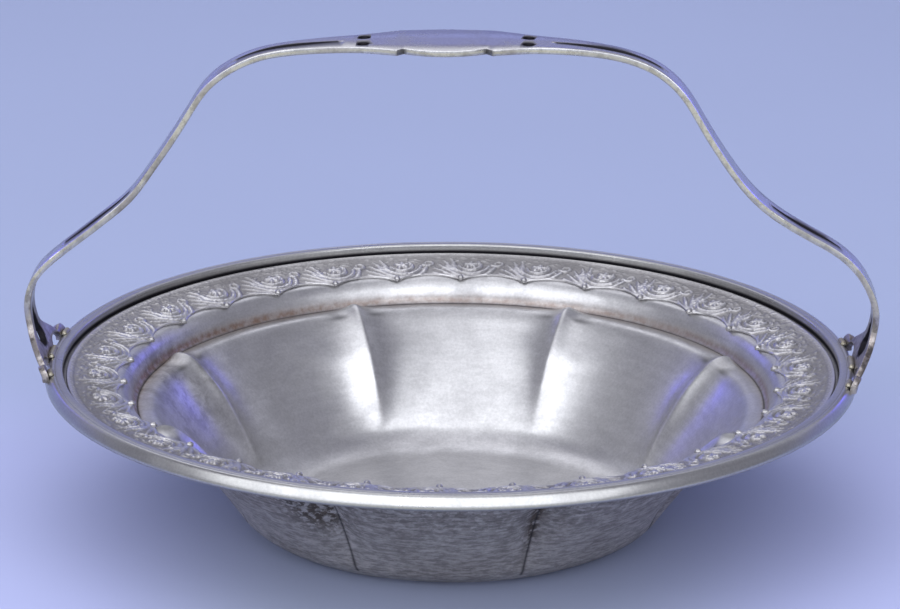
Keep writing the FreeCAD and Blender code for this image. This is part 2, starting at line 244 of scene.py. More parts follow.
class NodeBook:
    """Writes one material's nodes."""

    def __init__(self, name: str) -> None:
        """Start an empty material.

        Args:
            name: The material's name.
        """
        self.material = bpy.data.materials.new(name)
        self.material.use_nodes = True
        self.tree = self.material.node_tree
        self.tree.nodes.clear()

    def node(self, kind: str, settings: dict[str, object] | None = None,
             **sockets: object) -> bpy.types.Node:
        """Add a node.

        Args:
            kind: The node's type without its prefix.
            settings: Properties of the node.
            **sockets: Values or links by socket name, with spaces written as underscores,
                or by the socket's number, as in i_0.

        Returns:
            The node.
        """
        made = self.tree.nodes.new("ShaderNode" + kind)
        for key, value in (settings or {}).items():
            setattr(made, key, value)
        for key, value in sockets.items():
            wanted = key.replace("_", " ")
            found = [s for s in made.inputs if s.name == wanted and s.enabled]
            self.put(found[0] if found else made.inputs[int(key.strip("i_"))], value)
        return made

    def put(self, socket: bpy.types.NodeSocket, value: object) -> None:
        """Set or link one input socket.

        Args:
            socket: The input.
            value: A value, or the output that feeds it.
        """
        if isinstance(value, bpy.types.NodeSocket):
            self.tree.links.new(value, socket)
        else:
            socket.default_value = value

    def math(self, how: str, a: object, b: object = 0.0, c: object = 0.0,
             clamp: bool = False) -> bpy.types.NodeSocket:
        """One arithmetic step.

        Args:
            how: The operation.
            a: First number or socket.
            b: Second number or socket.
            c: Third number or socket.
            clamp: Whether the result is held between 0 and 1.

        Returns:
            The result's socket.
        """
        made = self.node("Math", {"operation": how, "use_clamp": clamp})
        for socket, value in zip(made.inputs, (a, b, c)):
            self.put(socket, value)
        return made.outputs[0]

    def times(self, a: object, b: object, clamp: bool = False) -> bpy.types.NodeSocket:
        """Product of two numbers or sockets, which may be held between 0 and 1."""
        return self.math("MULTIPLY", a, b, clamp=clamp)

    def mask(self, which: Mask) -> bpy.types.NodeSocket:
        """Read a mask that the mesh carries."""
        return self.node("Attribute", {"attribute_name": which.value}).outputs["Fac"]

    def noise(self, where: bpy.types.NodeSocket, scale: float, rough: float,
              detail: float = 4.0, warp: float = 0.0) -> bpy.types.NodeSocket:
        """Fractal noise.

        Args:
            where: Coordinates to read.
            scale: Waves per metre.
            rough: Strength of the finer octaves.
            detail: Number of octaves.
            warp: Distortion.

        Returns:
            The noise's value.
        """
        return self.node("TexNoise", None, Vector=where, Scale=scale, Detail=detail,
                         Roughness=rough, Distortion=warp).outputs[0]

    def ease(self, value: object, low: float, high: float, out_low: float = 0.0,
             out_high: float = 1.0) -> bpy.types.NodeSocket:
        """Map a range smoothly to another and hold it there.

        Args:
            value: Number or socket.
            low: Input where the output starts.
            high: Input where the output ends.
            out_low: Output at low and beyond it.
            out_high: Output at high and beyond it.

        Returns:
            The mapped value.
        """
        made = self.node("MapRange", {"interpolation_type": "SMOOTHSTEP"})
        for index, item in enumerate((value, low, high, out_low, out_high)):
            self.put(made.inputs[index], item)
        return made.outputs[0]

    def blend(self, share: object, a: object, b: object,
              how: str = "MIX") -> bpy.types.NodeSocket:
        """Mix two colours.

        Args:
            share: How much of the second.
            a: First colour, as three numbers or a socket.
            b: Second colour, as three numbers or a socket.
            how: The blend.

        Returns:
            The mixed colour.
        """
        made = self.node("Mix", {"data_type": "RGBA", "blend_type": how})
        self.put(made.inputs["Factor"], share)
        for name, colour in (("A", a), ("B", b)):
            socket = [s for s in made.inputs if s.name == name and s.type == "RGBA"][0]
            self.put(socket, (*colour, 1.0) if isinstance(colour, tuple) else colour)
        return [s for s in made.outputs if s.type == "RGBA"][0]

    def mixed(self, share: object, a: bpy.types.Node, b: bpy.types.Node) -> bpy.types.Node:
        """Mix two shaders.

        Args:
            share: How much of the second.
            a: First shader's node.
            b: Second shader's node.

        Returns:
            The mixing node.
        """
        return self.node("MixShader", None, i_0=share, i_1=a.outputs[0], i_2=b.outputs[0])

    def place(self) -> bpy.types.NodeSocket:
        """Coordinates of the surface in the object's own space, in metres."""
        return self.node("TexCoord").outputs["Object"]

    def split(self, where: bpy.types.NodeSocket) -> bpy.types.bpy_prop_collection:
        """The x, y and z of coordinates."""
        return self.node("SeparateXYZ", None, Vector=where).outputs

    def turned(self, where: bpy.types.NodeSocket, around: float,
               across: float) -> bpy.types.NodeSocket:
        """Coordinates that run round the bowl's axis.

        Args:
            where: Coordinates in metres.
            around: Waves of the pattern per radian of turn.
            across: Waves per metre across the turn.

        Returns:
            Coordinates for a pattern of turned or polished lines.
        """
        x, y, z = self.split(where)
        angle = self.math("ARCTAN2", y, x)
        radius = self.math("SQRT", self.math("ADD", self.times(x, x), self.times(y, y)))
        return self.node("CombineXYZ", None, i_0=self.times(angle, around),
                         i_1=self.times(radius, across), i_2=self.times(z, across)).outputs[0]

    def bump(self, height: object, distance: float, strength: float,
             under: object = None) -> bpy.types.NodeSocket:
        """Bump from a height.

        Args:
            height: The height's socket.
            distance: Depth of the relief in metres.
            strength: Strength, 0 to 1.
            under: Normal of the coarser relief below.

        Returns:
            The normal's socket.
        """
        made = self.node("Bump", None, Height=height, Distance=distance, Strength=strength)
        if under is not None:
            self.put(made.inputs["Normal"], under)
        return made.outputs[0]

    def finished(self, surface: bpy.types.Node) -> bpy.types.Material:
        """The material, once a shader is its surface."""
        self.node("OutputMaterial", None, Surface=surface.outputs[0])
        return self.material


@dataclass(frozen=True)
class AgedSilver:
    """Silver with oxide and painted shade in its recesses, brown tarnish, stains and fine wear.

    Colours are linear RGB, scales are in waves per metre, and depths are in metres. An
    edge is the pair of noise values between which a pattern comes in.
    """

    name: str
    silver: Triple = (0.64, 0.635, 0.64)
    dull: Triple = (0.43, 0.425, 0.435)
    tarnish: Triple = (0.31, 0.215, 0.17)
    oxide_and_shade_colour: Triple = (0.03, 0.028, 0.035)
    stain: Triple = (0.10, 0.085, 0.075)
    metal: float = 1.0
    # Roughness of the clean metal, and what clouds, tarnish and oxide add to it
    rough: float = 0.24
    rough_spread: float = 0.12
    rough_edge: Pair = (0.35, 0.70)
    tarnish_rough: float = 0.22
    oxide_rough: float = 0.30
    # Dull clouds
    cloud_scale: float = 38.0
    dull_share: float = 0.5
    dull_edge: Pair = (0.40, 0.66)
    # Specks that break up the tarnish and pit the metal
    speck_scale: float = 420.0
    speck_edge: Pair = (0.30, 0.68)
    speck_least: float = 0.55
    pit_depth: float = 0.00003
    # Blots of the stain
    stain_scale: float = 38.0
    stain_edge: Pair = (0.46, 0.60)
    # Sandy unevenness of the colour
    sand_scale: float = 1100.0
    sand_edge: Pair = (0.30, 0.70)
    sand_range: Pair = (0.91, 1.05)
    # Polishing lines round the axis: waves per radian, across them, depth and tone
    grain: float = 3.0
    scratch_scale: float = 900.0
    scratch_depth: float = 0.00002
    streak: float = 0.05
    streak_edge: Pair = (0.36, 0.66)
    # Finest grain of the surface
    fine_scale: float = 1500.0
    fine_depth: float = 0.000006

    def build(self) -> bpy.types.Material:
        """Write the material.

        Returns:
            The material.
        """
        book = NodeBook(self.name)
        where = book.place()
        clouds = book.noise(where, self.cloud_scale, detail=5.0, rough=0.62, warp=0.4)
        specks = book.noise(where, self.speck_scale, detail=3.0, rough=0.6)
        lines = book.noise(book.turned(where, self.grain, self.scratch_scale), 1.0, rough=0.7)
        fine = book.noise(where, self.fine_scale, detail=2.0, rough=0.5)
        blots = book.noise(where, self.stain_scale, detail=5.0, rough=0.62, warp=0.3)
        sand = book.noise(where, self.sand_scale, detail=3.0, rough=0.65)
        oxide_and_shade, tarnish, stain = (book.mask(m) for m in (Mask.OXIDE_AND_SHADE, Mask.TARNISH, Mask.STAIN))

        dulled = book.times(book.ease(clouds, *self.dull_edge), self.dull_share)
        colour = book.blend(dulled, self.silver, self.dull)
        speckle = book.ease(specks, *self.speck_edge, self.speck_least, 1.0)
        mottled = book.times(tarnish, speckle, clamp=True)
        colour = book.blend(mottled, colour, self.tarnish)
        spotted = book.times(stain, book.ease(blots, *self.stain_edge), clamp=True)
        colour = book.blend(spotted, colour, self.stain)
        sanded = book.ease(sand, *self.sand_edge, *self.sand_range)
        colour = book.blend(1.0, colour, sanded, "MULTIPLY")
        streaks = book.ease(lines, *self.streak_edge, 1.0 - self.streak, 1.0 + 0.5 * self.streak)
        colour = book.blend(1.0, colour, streaks, "MULTIPLY")
        # Near-black of oxide in hollows and of painted shade
        colour = book.blend(oxide_and_shade, colour, self.oxide_and_shade_colour)

        cloudy = book.ease(clouds, *self.rough_edge)
        rough = book.math("MULTIPLY_ADD", cloudy, self.rough_spread, self.rough)
        rough = book.math("MULTIPLY_ADD", mottled, self.tarnish_rough, rough)
        rough = book.math("MULTIPLY_ADD", oxide_and_shade, self.oxide_rough, rough, clamp=True)
        normal = book.bump(lines, self.scratch_depth, strength=0.6)
        normal = book.bump(specks, self.pit_depth, strength=0.5, under=normal)
        normal = book.bump(fine, self.fine_depth, strength=0.5, under=normal)
        return book.finished(book.node("BsdfPrincipled", None, Base_Color=colour, Roughness=rough,
                                       Normal=normal, Metallic=self.metal))


def dressed(mesh: bpy.types.Mesh, name: str, masks: dict[Mask, np.ndarray],
            *finishes: AgedSilver) -> bpy.types.Object:
    """Make a piece of a mesh, with its masks and finishes.

    Args:
        mesh: The mesh.
        name: The piece's name.
        masks: One value per vertex for each mask.
        *finishes: The finishes, in the order of the faces' numbers.

    Returns:
        The piece.
    """
    for which, values in masks.items():
        layer = mesh.attributes.new(which.value, "FLOAT", "POINT")
        layer.data.foreach_set("value", np.ascontiguousarray(values, dtype=np.float32).ravel())
    mesh.materials.clear()
    for finish in finishes:
        mesh.materials.append(finish.build())
    return link(mesh, name)


# Studio, all sizes in metres

class Place(enum.Enum):
    """Which part of the studio a sheet of paper is."""

    FLOOR = "floor"
    BACKDROP = "backdrop"


@dataclass(frozen=True)
class StudioPaper:
    """Matt lavender paper of the floor and the backdrop, and how polished metal sees it.

    Each edge is the pair of places between which a tone comes in.
    """

    name: str
    place: Place
    # Paper far off; in front of the basket a greyer tone, a painted reflection of the basket;
    # beside it, painted violet light over its shadow
    colour: Triple = (0.35, 0.395, 0.565)
    near: Triple = (0.40, 0.435, 0.51)
    near_edge: Pair = (0.10, -0.42)
    painted_light_beside: Triple = (0.42, 0.452, 0.685)
    painted_light_inner: Pair = (0.04, 0.12)
    painted_light_outer: Pair = (0.32, 0.16)
    painted_light_front: Pair = (-0.24, -0.10)
    painted_light_back: Pair = (0.16, 0.04)
    # Gentle unevenness of the paper
    mottle_scale: float = 2.2
    mottle_edge: Pair = (0.3, 0.7)
    mottle_range: Pair = (0.97, 1.0)
    # Floor as the metal mirrors it, from a line in front of the basket forwards
    front: Triple = (0.82, 0.82, 0.72)
    front_edge: Pair = (-0.18, -0.36)
    # Backdrop as the metal mirrors it: low, at half height and high up
    low: Triple = (0.36, 0.395, 0.80)
    wall: Triple = (0.19, 0.18, 0.38)
    wall_edge: Pair = (0.66, 0.84)
    high: Triple = (0.54, 0.55, 0.64)
    high_edge: Pair = (0.90, 1.29)
    # Violet light on the backdrop: each spot's x, z and width, and the height of both
    glow: Triple = (1.1, 1.0, 6.2)
    spots: tuple[Triple, ...] = ((1.50, 0.54, 0.26), (-1.76, 0.93, 0.23))
    spot_height: float = 0.20
    # Rays shorter than this pass the floor, so that the base keeps its own colour
    touch: float = 0.0006

    def paper(self, book: NodeBook, where: bpy.types.NodeSocket) -> bpy.types.Node:
        """Matt paper, with a painted reflection of the basket in front of it and painted light
        beside it.

        Args:
            book: The material's book.
            where: Coordinates of the surface.

        Returns:
            The shader's node.
        """
        x, y, _ = book.split(where)
        # Painted reflection: greyer paper in front of the basket
        paper = book.blend(book.ease(y, *self.near_edge), self.colour, self.near)
        # Painted light: lighter violet paper beside the basket, over its shadow
        aside = book.math("ABSOLUTE", x)
        beside = book.times(book.ease(aside, *self.painted_light_inner),
                            book.ease(aside, *self.painted_light_outer))
        beside = book.times(beside, book.ease(y, *self.painted_light_front))
        beside = book.times(beside, book.ease(y, *self.painted_light_back))
        paper = book.blend(beside, paper, self.painted_light_beside)
        mottle = book.noise(where, self.mottle_scale, detail=2.0, rough=0.5)
        tone = book.ease(mottle, *self.mottle_edge, *self.mottle_range)
        return book.node("BsdfDiffuse", None, Color=book.blend(1.0, paper, tone, "MULTIPLY"))

    def backdrop_colour(self, book: NodeBook,
                        where: bpy.types.NodeSocket) -> bpy.types.NodeSocket:
        """Colour of the backdrop as the metal mirrors it.

        Args:
            book: The material's book.
            where: Coordinates of the surface.

        Returns:
            The colour's socket.
        """
        x, _, z = book.split(where)
        colour = book.blend(book.ease(z, *self.wall_edge), self.low, self.wall)
        colour = book.blend(book.ease(z, *self.high_edge), colour, self.high)
        for spot_x, spot_z, width in self.spots:
            across = book.math("MULTIPLY_ADD", x, 1.0 / width, -spot_x / width)
            up = book.math("MULTIPLY_ADD", z, 1.0 / self.spot_height, -spot_z / self.spot_height)
            spread = book.math("ADD", book.times(across, across), book.times(up, up))
            spot = book.math("EXPONENT", book.times(spread, -1.0))
            colour = book.blend(spot, colour, self.glow)
        return colour

    def build(self) -> bpy.types.Material:
        """Write the material.

        Returns:
            The material.
        """
        book = NodeBook(self.name)
        path = book.node("LightPath").outputs
        where = book.place()
        matt = self.paper(book, where)
        if self.place is Place.BACKDROP:
            mirrored = book.node("Emission", None, Color=self.backdrop_colour(book, where),
                                 Strength=1.0)
            return book.finished(book.mixed(path["Is Glossy Ray"], matt, mirrored))
        mirrored = book.node("Emission", None, Color=(*self.front, 1.0), Strength=1.0)
        share = book.times(path["Is Glossy Ray"],
                           book.ease(book.split(where)[1], *self.front_edge))
        floor = book.mixed(share, matt, mirrored)
        close = book.math("LESS_THAN", path["Ray Length"], self.touch)
        from_below = book.node("NewGeometry").outputs["Backfacing"]
        passed = book.math("MAXIMUM", close, from_below)
        return book.finished(book.mixed(passed, floor, book.node("BsdfTransparent")))


@dataclass
class Camera:
    """Camera at the photograph's viewing angle, in degrees, metres and millimetres of lens."""

    elevation: float = 18.56
    azimuth: float = 1.8
    pitch: float = 0.770
    yaw: float = -0.014
    roll: float = 0.2
    distance: float = 1.463
    aim_height: float = 0.053
    focal: float = 178.1
    sensor: float = 36.0
    clip: Pair = (0.05, 20.0)

    def build(self) -> bpy.types.Object:
        """Make the camera and set it as the scene's own.

        Returns:
            The camera.
        """
        e, a = math.radians(self.elevation), math.radians(self.azimuth)
        back = Vector((math.sin(a) * math.cos(e), -math.cos(a) * math.cos(e), math.sin(e)))
        ahead = -back
        right = ahead.cross(Vector((0.0, 0.0, 1.0))).normalized()
        up = right.cross(ahead)
        ahead = (ahead + up * math.tan(math.radians(self.pitch))
                 + right * math.tan(math.radians(self.yaw)))
        ahead.normalize()
        right = ahead.cross(up).normalized()
        up = right.cross(ahead)
        c, s = math.cos(math.radians(self.roll)), math.sin(math.radians(self.roll))
        data = bpy.data.cameras.new("photograph_view")
        data.sensor_width = self.sensor
        data.lens = self.focal
        data.clip_start, data.clip_end = self.clip
        camera = bpy.data.objects.new("photograph_view", data)
        bpy.context.scene.collection.objects.link(camera)
        matrix = Matrix((right * c + up * s, up * c - right * s, -ahead)).transposed().to_4x4()
        matrix.translation = back * self.distance + Vector((0.0, 0.0, self.aim_height))
        camera.matrix_world = matrix
        bpy.context.scene.camera = camera
        return camera


@dataclass(frozen=True)
class Softbox:
    """Soft lamp that points at the basket: place and size in metres, power in watts."""

    name: str
    place: Triple
    size: Pair
    power: float
    colour: Triple
    aim: Triple = (0.0, 0.0, 0.04)

    def build(self) -> bpy.types.Object:
        """Make the lamp.

        Returns:
            The lamp.
        """
        data = bpy.data.lights.new(self.name, "AREA")
        data.shape = "RECTANGLE"
        data.size, data.size_y = self.size
        data.energy = self.power
        data.color = self.colour
        lamp = bpy.data.objects.new(self.name, data)
        bpy.context.scene.collection.objects.link(lamp)
        lamp.location = self.place
        towards = Vector(self.aim) - Vector(self.place)
        lamp.rotation_euler = towards.to_track_quat("-Z", "Y").to_euler()
        lamp.visible_camera = False
        return lamp


@dataclass
class Studio:
    """Floor, backdrop, lamps and plain surroundings.

    The floor lies just under the base. The backdrop is there for the metal to mirror, and
    what the camera sees behind the floor is the surroundings' own colour.
    """

    floor_half: float = 4.5
    floor_gap: float = 0.0001
    backdrop_start: float = 1.60
    bend: float = 0.35
    bend_rows: int = 14
    backdrop_height: float = 3.3
    sky: Triple = (0.74, 0.75, 0.87)
    mirrored_sky: Triple = (0.28, 0.28, 0.34)
    seen_sky: Triple = (0.38, 0.43, 0.72)
    softboxes: tuple[Softbox, ...] = (
        Softbox("key_softbox", (-0.22, -1.24, 1.20), (3.9, 1.36), 37.5, (0.94, 0.965, 1.0)),
        Softbox("low_softbox", (-0.10, -1.97, 0.39), (4.2, 0.7), 5.2, (0.80, 0.88, 1.0)),
        Softbox("top_softbox", (-0.10, 0.0, 1.70), (1.3, 1.1), 3.4, (0.95, 0.96, 1.0)),
        Softbox("rear_softbox", (-0.21, 0.93, 1.30), (0.95, 0.95), 2.4, (0.95, 0.96, 1.0)))

    def floor(self) -> bpy.types.Object:
        """Make the floor.

        Returns:
            The floor.
        """
        mesh = bpy.data.meshes.new("floor")
        corners = ((-1, -1), (1, -1), (1, 1), (-1, 1))
        mesh.from_pydata([(x * self.floor_half, y * self.floor_half, -self.floor_gap)
                          for x, y in corners], [], [(0, 1, 2, 3)])
        mesh.materials.append(StudioPaper("lavender_floor", Place.FLOOR).build())
        return link(mesh, "floor")

    def backdrop(self) -> bpy.types.Object:
        """Make the backdrop, which bends up from the floor behind the basket.

        Returns:
            The backdrop.
        """
        angle = np.linspace(0.0, math.pi / 2, self.bend_rows)
        y = self.backdrop_start + self.bend * np.sin(angle)
        z = self.bend * (1.0 - np.cos(angle))
        section = np.vstack([np.stack([y, z], -1), [[y[-1], self.backdrop_height]]])
        sides = (-self.floor_half, self.floor_half)
        points = np.array([[[x, y, z] for x in sides] for y, z in section]) / MM
        mesh = grid_mesh("backdrop", points, wrap=False)
        mesh.materials.append(StudioPaper("lavender_backdrop", Place.BACKDROP).build())
        wall = link(mesh, "backdrop")
        wall.visible_camera = False
        wall.visible_shadow = False
        return wall

    def surroundings(self) -> bpy.types.World:
        """Make the world: one colour that lights, one for the metal and one for the camera.

        Returns:
            The world.
        """
        world = bpy.data.worlds.new("surroundings")
        world.use_nodes = True
        tree = world.node_tree
        path = tree.nodes.new("ShaderNodeLightPath").outputs
        shown = tree.nodes["Background"]
        shown.inputs["Color"].default_value = (*self.sky, 1.0)
        for ray, colour in (("Is Glossy Ray", self.mirrored_sky), ("Is Camera Ray", self.seen_sky)):
            other = tree.nodes.new("ShaderNodeBackground")
            other.inputs["Color"].default_value = (*colour, 1.0)
            mixed = tree.nodes.new("ShaderNodeMixShader")
            sources = (path[ray], shown.outputs[0], other.outputs[0])
            for socket, source in zip(mixed.inputs, sources):
                tree.links.new(source, socket)
            shown = mixed
        tree.links.new(shown.outputs[0], tree.nodes["World Output"].inputs["Surface"])
        return world

    def build(self) -> None:
        """Make the floor, the backdrop and the light."""
        floor_piece = self.floor()
        wall_piece = self.backdrop()
        for box in self.softboxes:
            box.build()
        bpy.context.scene.world = self.surroundings()


# Pieces of the basket, all sizes in millimetres and all angles in degrees

@dataclass
class Bowl:
    """The bowl's one sheet: flange, steep shoulder, ledge, lobed well and flat base.

    Sections are points of radius and height on the inside. The shoulder comes down from
    the flange. Below it, the middle of each lobe follows panel and the line between two
    lobes follows rib, both with as many points.
    """

    sheet: float = 1.0
    edge_radius: float = 130.2
    edge_height: float = 52.5
    fall: float = 0.165
    edge_rows: tuple[float, ...] = (130.2, 128.6, 127.2, 126.0)
    flange_span: Pair = (124.0, 110.2)
    flange_rows: int = 9
    rib_angles: tuple[float, ...] = (24.0, 67.6, 111.6, 158.5, 202.5, 246.6, 290.8, 337.5)
    shoulder: tuple[Pair, ...] = (
        (109.3, 49.05), (108.4, 48.82), (107.6, 48.38), (106.9, 47.7), (106.2, 46.85),
        (105.6, 45.9), (105.1, 44.8), (104.6, 43.5), (104.1, 42.2), (103.05, 40.95))
    panel: tuple[Pair, ...] = (
        (103.05, 40.95), (102.2, 41.1), (101.0, 41.2), (99.6, 41.25), (98.4, 41.15),
        (97.4, 40.8), (96.4, 40.1), (95.0, 38.75), (92.8, 36.2), (89.3, 32.0),
        (85.35, 27.0), (81.43, 22.0), (77.52, 17.0), (73.69, 12.1), (69.83, 7.15))
    rib: tuple[Pair, ...] = (
        (103.05, 40.95), (102.6, 42.1), (101.4, 43.2), (99.6, 43.75), (97.5, 43.6),
        (95.4, 42.8), (93.4, 41.5), (91.2, 39.7), (87.9, 36.45), (84.0, 32.0),
        (80.66, 27.0), (77.62, 22.0), (74.8, 17.0), (72.2, 12.1), (69.83, 7.15))
    shoulder_rows: int = 36
    ledge_end: float = 8.0
    ledge_rows: int = 51
    panel_rows: int = 32
    # Ribs: how their top is rounded, and how fast they sink into the panel and the ledge
    rib_rounding: float = 0.028
    panel_power: float = 5.2
    ledge_power: float = 9.0
    ledge_rise: Pair = (28.0, 41.0)
    # Pocket beside each rib on the ledge: its share of the lobe, its point, its depth
    pocket_place: Pair = (0.86, 0.085)
    pocket_point: Pair = (4.4, 1.9)
    pocket_depth: Pair = (1.1, 0.9)
    # Round corner between the well and the base, then the base itself
    corner_middle: Pair = (57.22, 17.0)
    corner_radius: float = 16.0
    corner_turn: Pair = (-38.0, -90.0)
    corner_rows: int = 14
    base_span: Pair = (54.0, 2.0)
    base_rows: int = 14
    lobe_columns: int = 60
    column_pull: float = 0.78
    # Shallow dents of the well
    dent_size: float = 46.0
    dent_depth: float = 0.10
    dent_seed: int = 3
    # Marks read from the photograph, as the middle's angle and the spread
    left_mouth: Pair = (138.0, 26.0)
    left_lobe: Pair = (172.0, 18.0)
    left_stain: Pair = (168.0, 20.0)
    outer_smear: Pair = (242.5, 6.0)
    outer_streak: Pair = (290.3, 1.7)
    inner_finish: AgedSilver = AgedSilver(
        "aged_bowl_silver", rough=0.34, stain_scale=150.0, cloud_scale=62.0, dull_share=0.42,
        grain=9.0, scratch_scale=420.0, streak=0.07)
    # The outside's darker, less metallic silver: partly its dull tarnish and stains, partly painted
    # shade of faces that look down into the basket's shadow
    outer_stain_and_shade_finish: AgedSilver = AgedSilver(
        "stained_and_shaded_outer_silver", silver=(0.46, 0.435, 0.415), dull=(0.31, 0.285, 0.27),
        rough=0.46, metal=0.5, cloud_scale=52.0, stain=(0.10, 0.078, 0.062),
        stain_scale=400.0, stain_edge=(0.42, 0.54), grain=17.0, scratch_scale=760.0,
        scratch_depth=0.00007, streak=0.36)

    def columns(self) -> np.ndarray:
        """Where the sheet's columns stand, closer together near the ribs.

        Returns:
            Their angles in radians, from the first rib on.
        """
        t = np.arange(self.lobe_columns) / self.lobe_columns
        eased = t - self.column_pull * np.sin(FULL_TURN * t) / FULL_TURN
        ribs = np.radians(self.rib_angles)
        ends = np.append(ribs[1:], ribs[0] + FULL_TURN)
        return np.concatenate([low + eased * (high - low) for low, high in zip(ribs, ends)])

    def lobes(self, angle: np.ndarray) -> tuple[np.ndarray, np.ndarray]:
        """Where angles lie in their lobes.

        Args:
            angle: Angles in radians from the first rib on, over one turn.

        Returns:
            Share from the lobe's middle to its rib, and the angle to the nearest rib.
        """
        ribs = np.radians(self.rib_angles)
        ends = np.append(ribs, ribs[0] + FULL_TURN)
        number = np.clip(np.searchsorted(ends, angle, side="right") - 1, 0, len(ribs) - 1)
        low, high = ends[number], ends[number + 1]
        share = (angle - low) / (high - low)
        return np.abs(2.0 * share - 1.0), np.minimum(angle - low, high - angle)

    def section(self, points: tuple[Pair, ...], shares: np.ndarray) -> np.ndarray:
        """Smooth section through points.

        Args:
            points: Radius and height of each point.
            shares: Places along the section, counted in points.

        Returns:
            Radius and height, one row for each share.
        """
        return cubic_spline(np.arange(len(points), dtype=float), np.array(points), shares)[0]

    def well(self, away: np.ndarray) -> np.ndarray:
        """Ledge and lobed wall of the well.

        Args:
            away: Share from the lobe's middle to its rib, one for each column.

        Returns:
            Radius and height, shaped rows, columns, 2.
        """
        shares = np.concatenate([
            np.linspace(0.0, self.ledge_end, self.ledge_rows + 1)[1:],
            np.linspace(self.ledge_end, len(self.panel) - 1.0, self.panel_rows + 1)[1:]])
        panel, rib = self.section(self.panel, shares), self.section(self.rib, shares)
        on_ledge = smooth_step(*self.ledge_rise, panel[:, 1:])
        power = self.panel_power + (self.ledge_power - self.panel_power) * on_ledge
        rounding = self.rib_rounding * (2.0 - on_ledge)
        nearness = 1.0 + rounding - np.sqrt((1.0 - away) ** 2 + rounding ** 2)
        weight = np.clip(nearness, 0.0, None) ** power
        pocket = hump(shares, *self.pocket_point)[:, None] * hump(away, *self.pocket_place)
        return (panel[:, None] + (rib - panel)[:, None] * weight[..., None]
                - np.array(self.pocket_depth) * pocket[..., None])

    def inner_face(self, angle: np.ndarray) -> np.ndarray:
        """Face that holds things, from the flange's edge to near the middle.

        Args:
            angle: Angles of the columns in radians.

        Returns:
            Points shaped rows, columns, 3.
        """
        radii = np.concatenate([self.edge_rows, np.linspace(*self.flange_span, self.flange_rows)])
        heights = self.edge_height - (self.edge_radius - radii) * self.fall
        ends = np.linspace(0.0, len(self.shoulder) - 1.0, self.shoulder_rows)
        above = np.vstack([np.stack([radii, heights], -1), self.section(self.shoulder, ends)])
        turn = np.radians(np.linspace(*self.corner_turn, self.corner_rows)[1:])
        corner = np.stack([np.cos(turn), np.sin(turn)], -1)
        corner = self.corner_middle + self.corner_radius * corner
        radii = np.linspace(*self.base_span, self.base_rows)
        below = np.vstack([corner, np.stack([radii, np.full_like(radii, self.sheet)], -1)])
        above, below = (np.repeat(part[:, None], len(angle), axis=1) for part in (above, below))
        rows = np.concatenate([above, self.well(self.lobes(angle)[0]), below])
        return around_axis(rows[..., 0], angle, rows[..., 1])

    def masks(self, points: np.ndarray, angle: np.ndarray,
              inner_rows: int) -> dict[Mask, np.ndarray]:
        """Where painted shade, dark grooves, tarnish and stains lie on the sheet.

        Args:
            points: The sheet's grid, with the inner face first.
            angle: Angles of the columns in radians.
            inner_rows: Number of rows of the inner face.

        Returns:
            One value per vertex for each mask, with the two middles last.
        """
        rho, z = np.hypot(points[..., 0], points[..., 1]), points[..., 2]
        upper = np.zeros(points.shape[:2])
        upper[:inner_rows] = 1.0
        outer = 1 - upper
        away, from_rib = self.lobes(angle)
        turn = np.degrees(angle)
        # Painted shade: the gap at the wire, the crease in the mouth, the pockets, the lip below
        # the ledge, and the front ribs' tops, darkened so they show no highlight; darker along the
        # outer grooves
        gap = smooth_step(125.6, 126.6, rho) * upper
        line = hump(np.hypot(rho - 103.0, z - 41.0), 0.0, 0.42) * upper
        pocket = (hump(away, 0.84, 0.11) * hump(z, 40.4, 0.8) * upper
                  * smooth_step(94.0, 96.0, rho) * smooth_step(103.0, 101.5, rho))
        lip = hump(z, 39.4, 1.5) * upper * (rho < 98.5)
        front_crest = ((np.sin(angle) < -0.2) * smooth_step(42.2, 43.2, z)
                       * smooth_step(102.5, 101.5, rho) * upper)
        groove = hump(rho * from_rib, 0.0, 0.55) * outer * (rho < 99.0) * (z > 4.0)
        oxide_and_shade = np.clip(gap + groove * 0.8 + line * 0.85 + pocket * 0.55 + front_crest * 0.4
                         + lip * 0.12, 0.0, 1.0)
        # Brown tarnish: all round the mouth, more at its left, and on the left lobe's crest
        mouth = hump(np.hypot(rho - 103.6, z - 42.3), 0.0, 1.7) * upper
        lobe = (hump(turn, *self.left_lobe) * smooth_step(96.0, 101.0, rho)
                * smooth_step(106.0, 103.5, rho) * upper)
        tarnish = np.clip(mouth * (0.75 + 0.35 * hump(turn, *self.left_mouth)) + lobe * 0.3,
                          0.0, 1.0)
        # Darker towards the top of the outside, with blots and a streak there; stain on the left of
        # the well
        smear = hump(turn, *self.outer_smear) * smooth_step(14.0, 32.0, z)
        streak = hump(turn, *self.outer_streak) * smooth_step(8.0, 26.0, z)
        stain = outer * np.clip(smooth_step(10.0, 44.0, z) * 0.55 + smear + streak, 0.0, 1.0)
        stain = stain + upper * 0.34 * hump(turn, *self.left_stain) * smooth_step(72.0, 90.0, rho)
        found = {Mask.OXIDE_AND_SHADE: oxide_and_shade, Mask.TARNISH: tarnish, Mask.STAIN: stain}
        return {which: np.append(values.ravel(), [0.0, 0.0]) for which, values in found.items()}

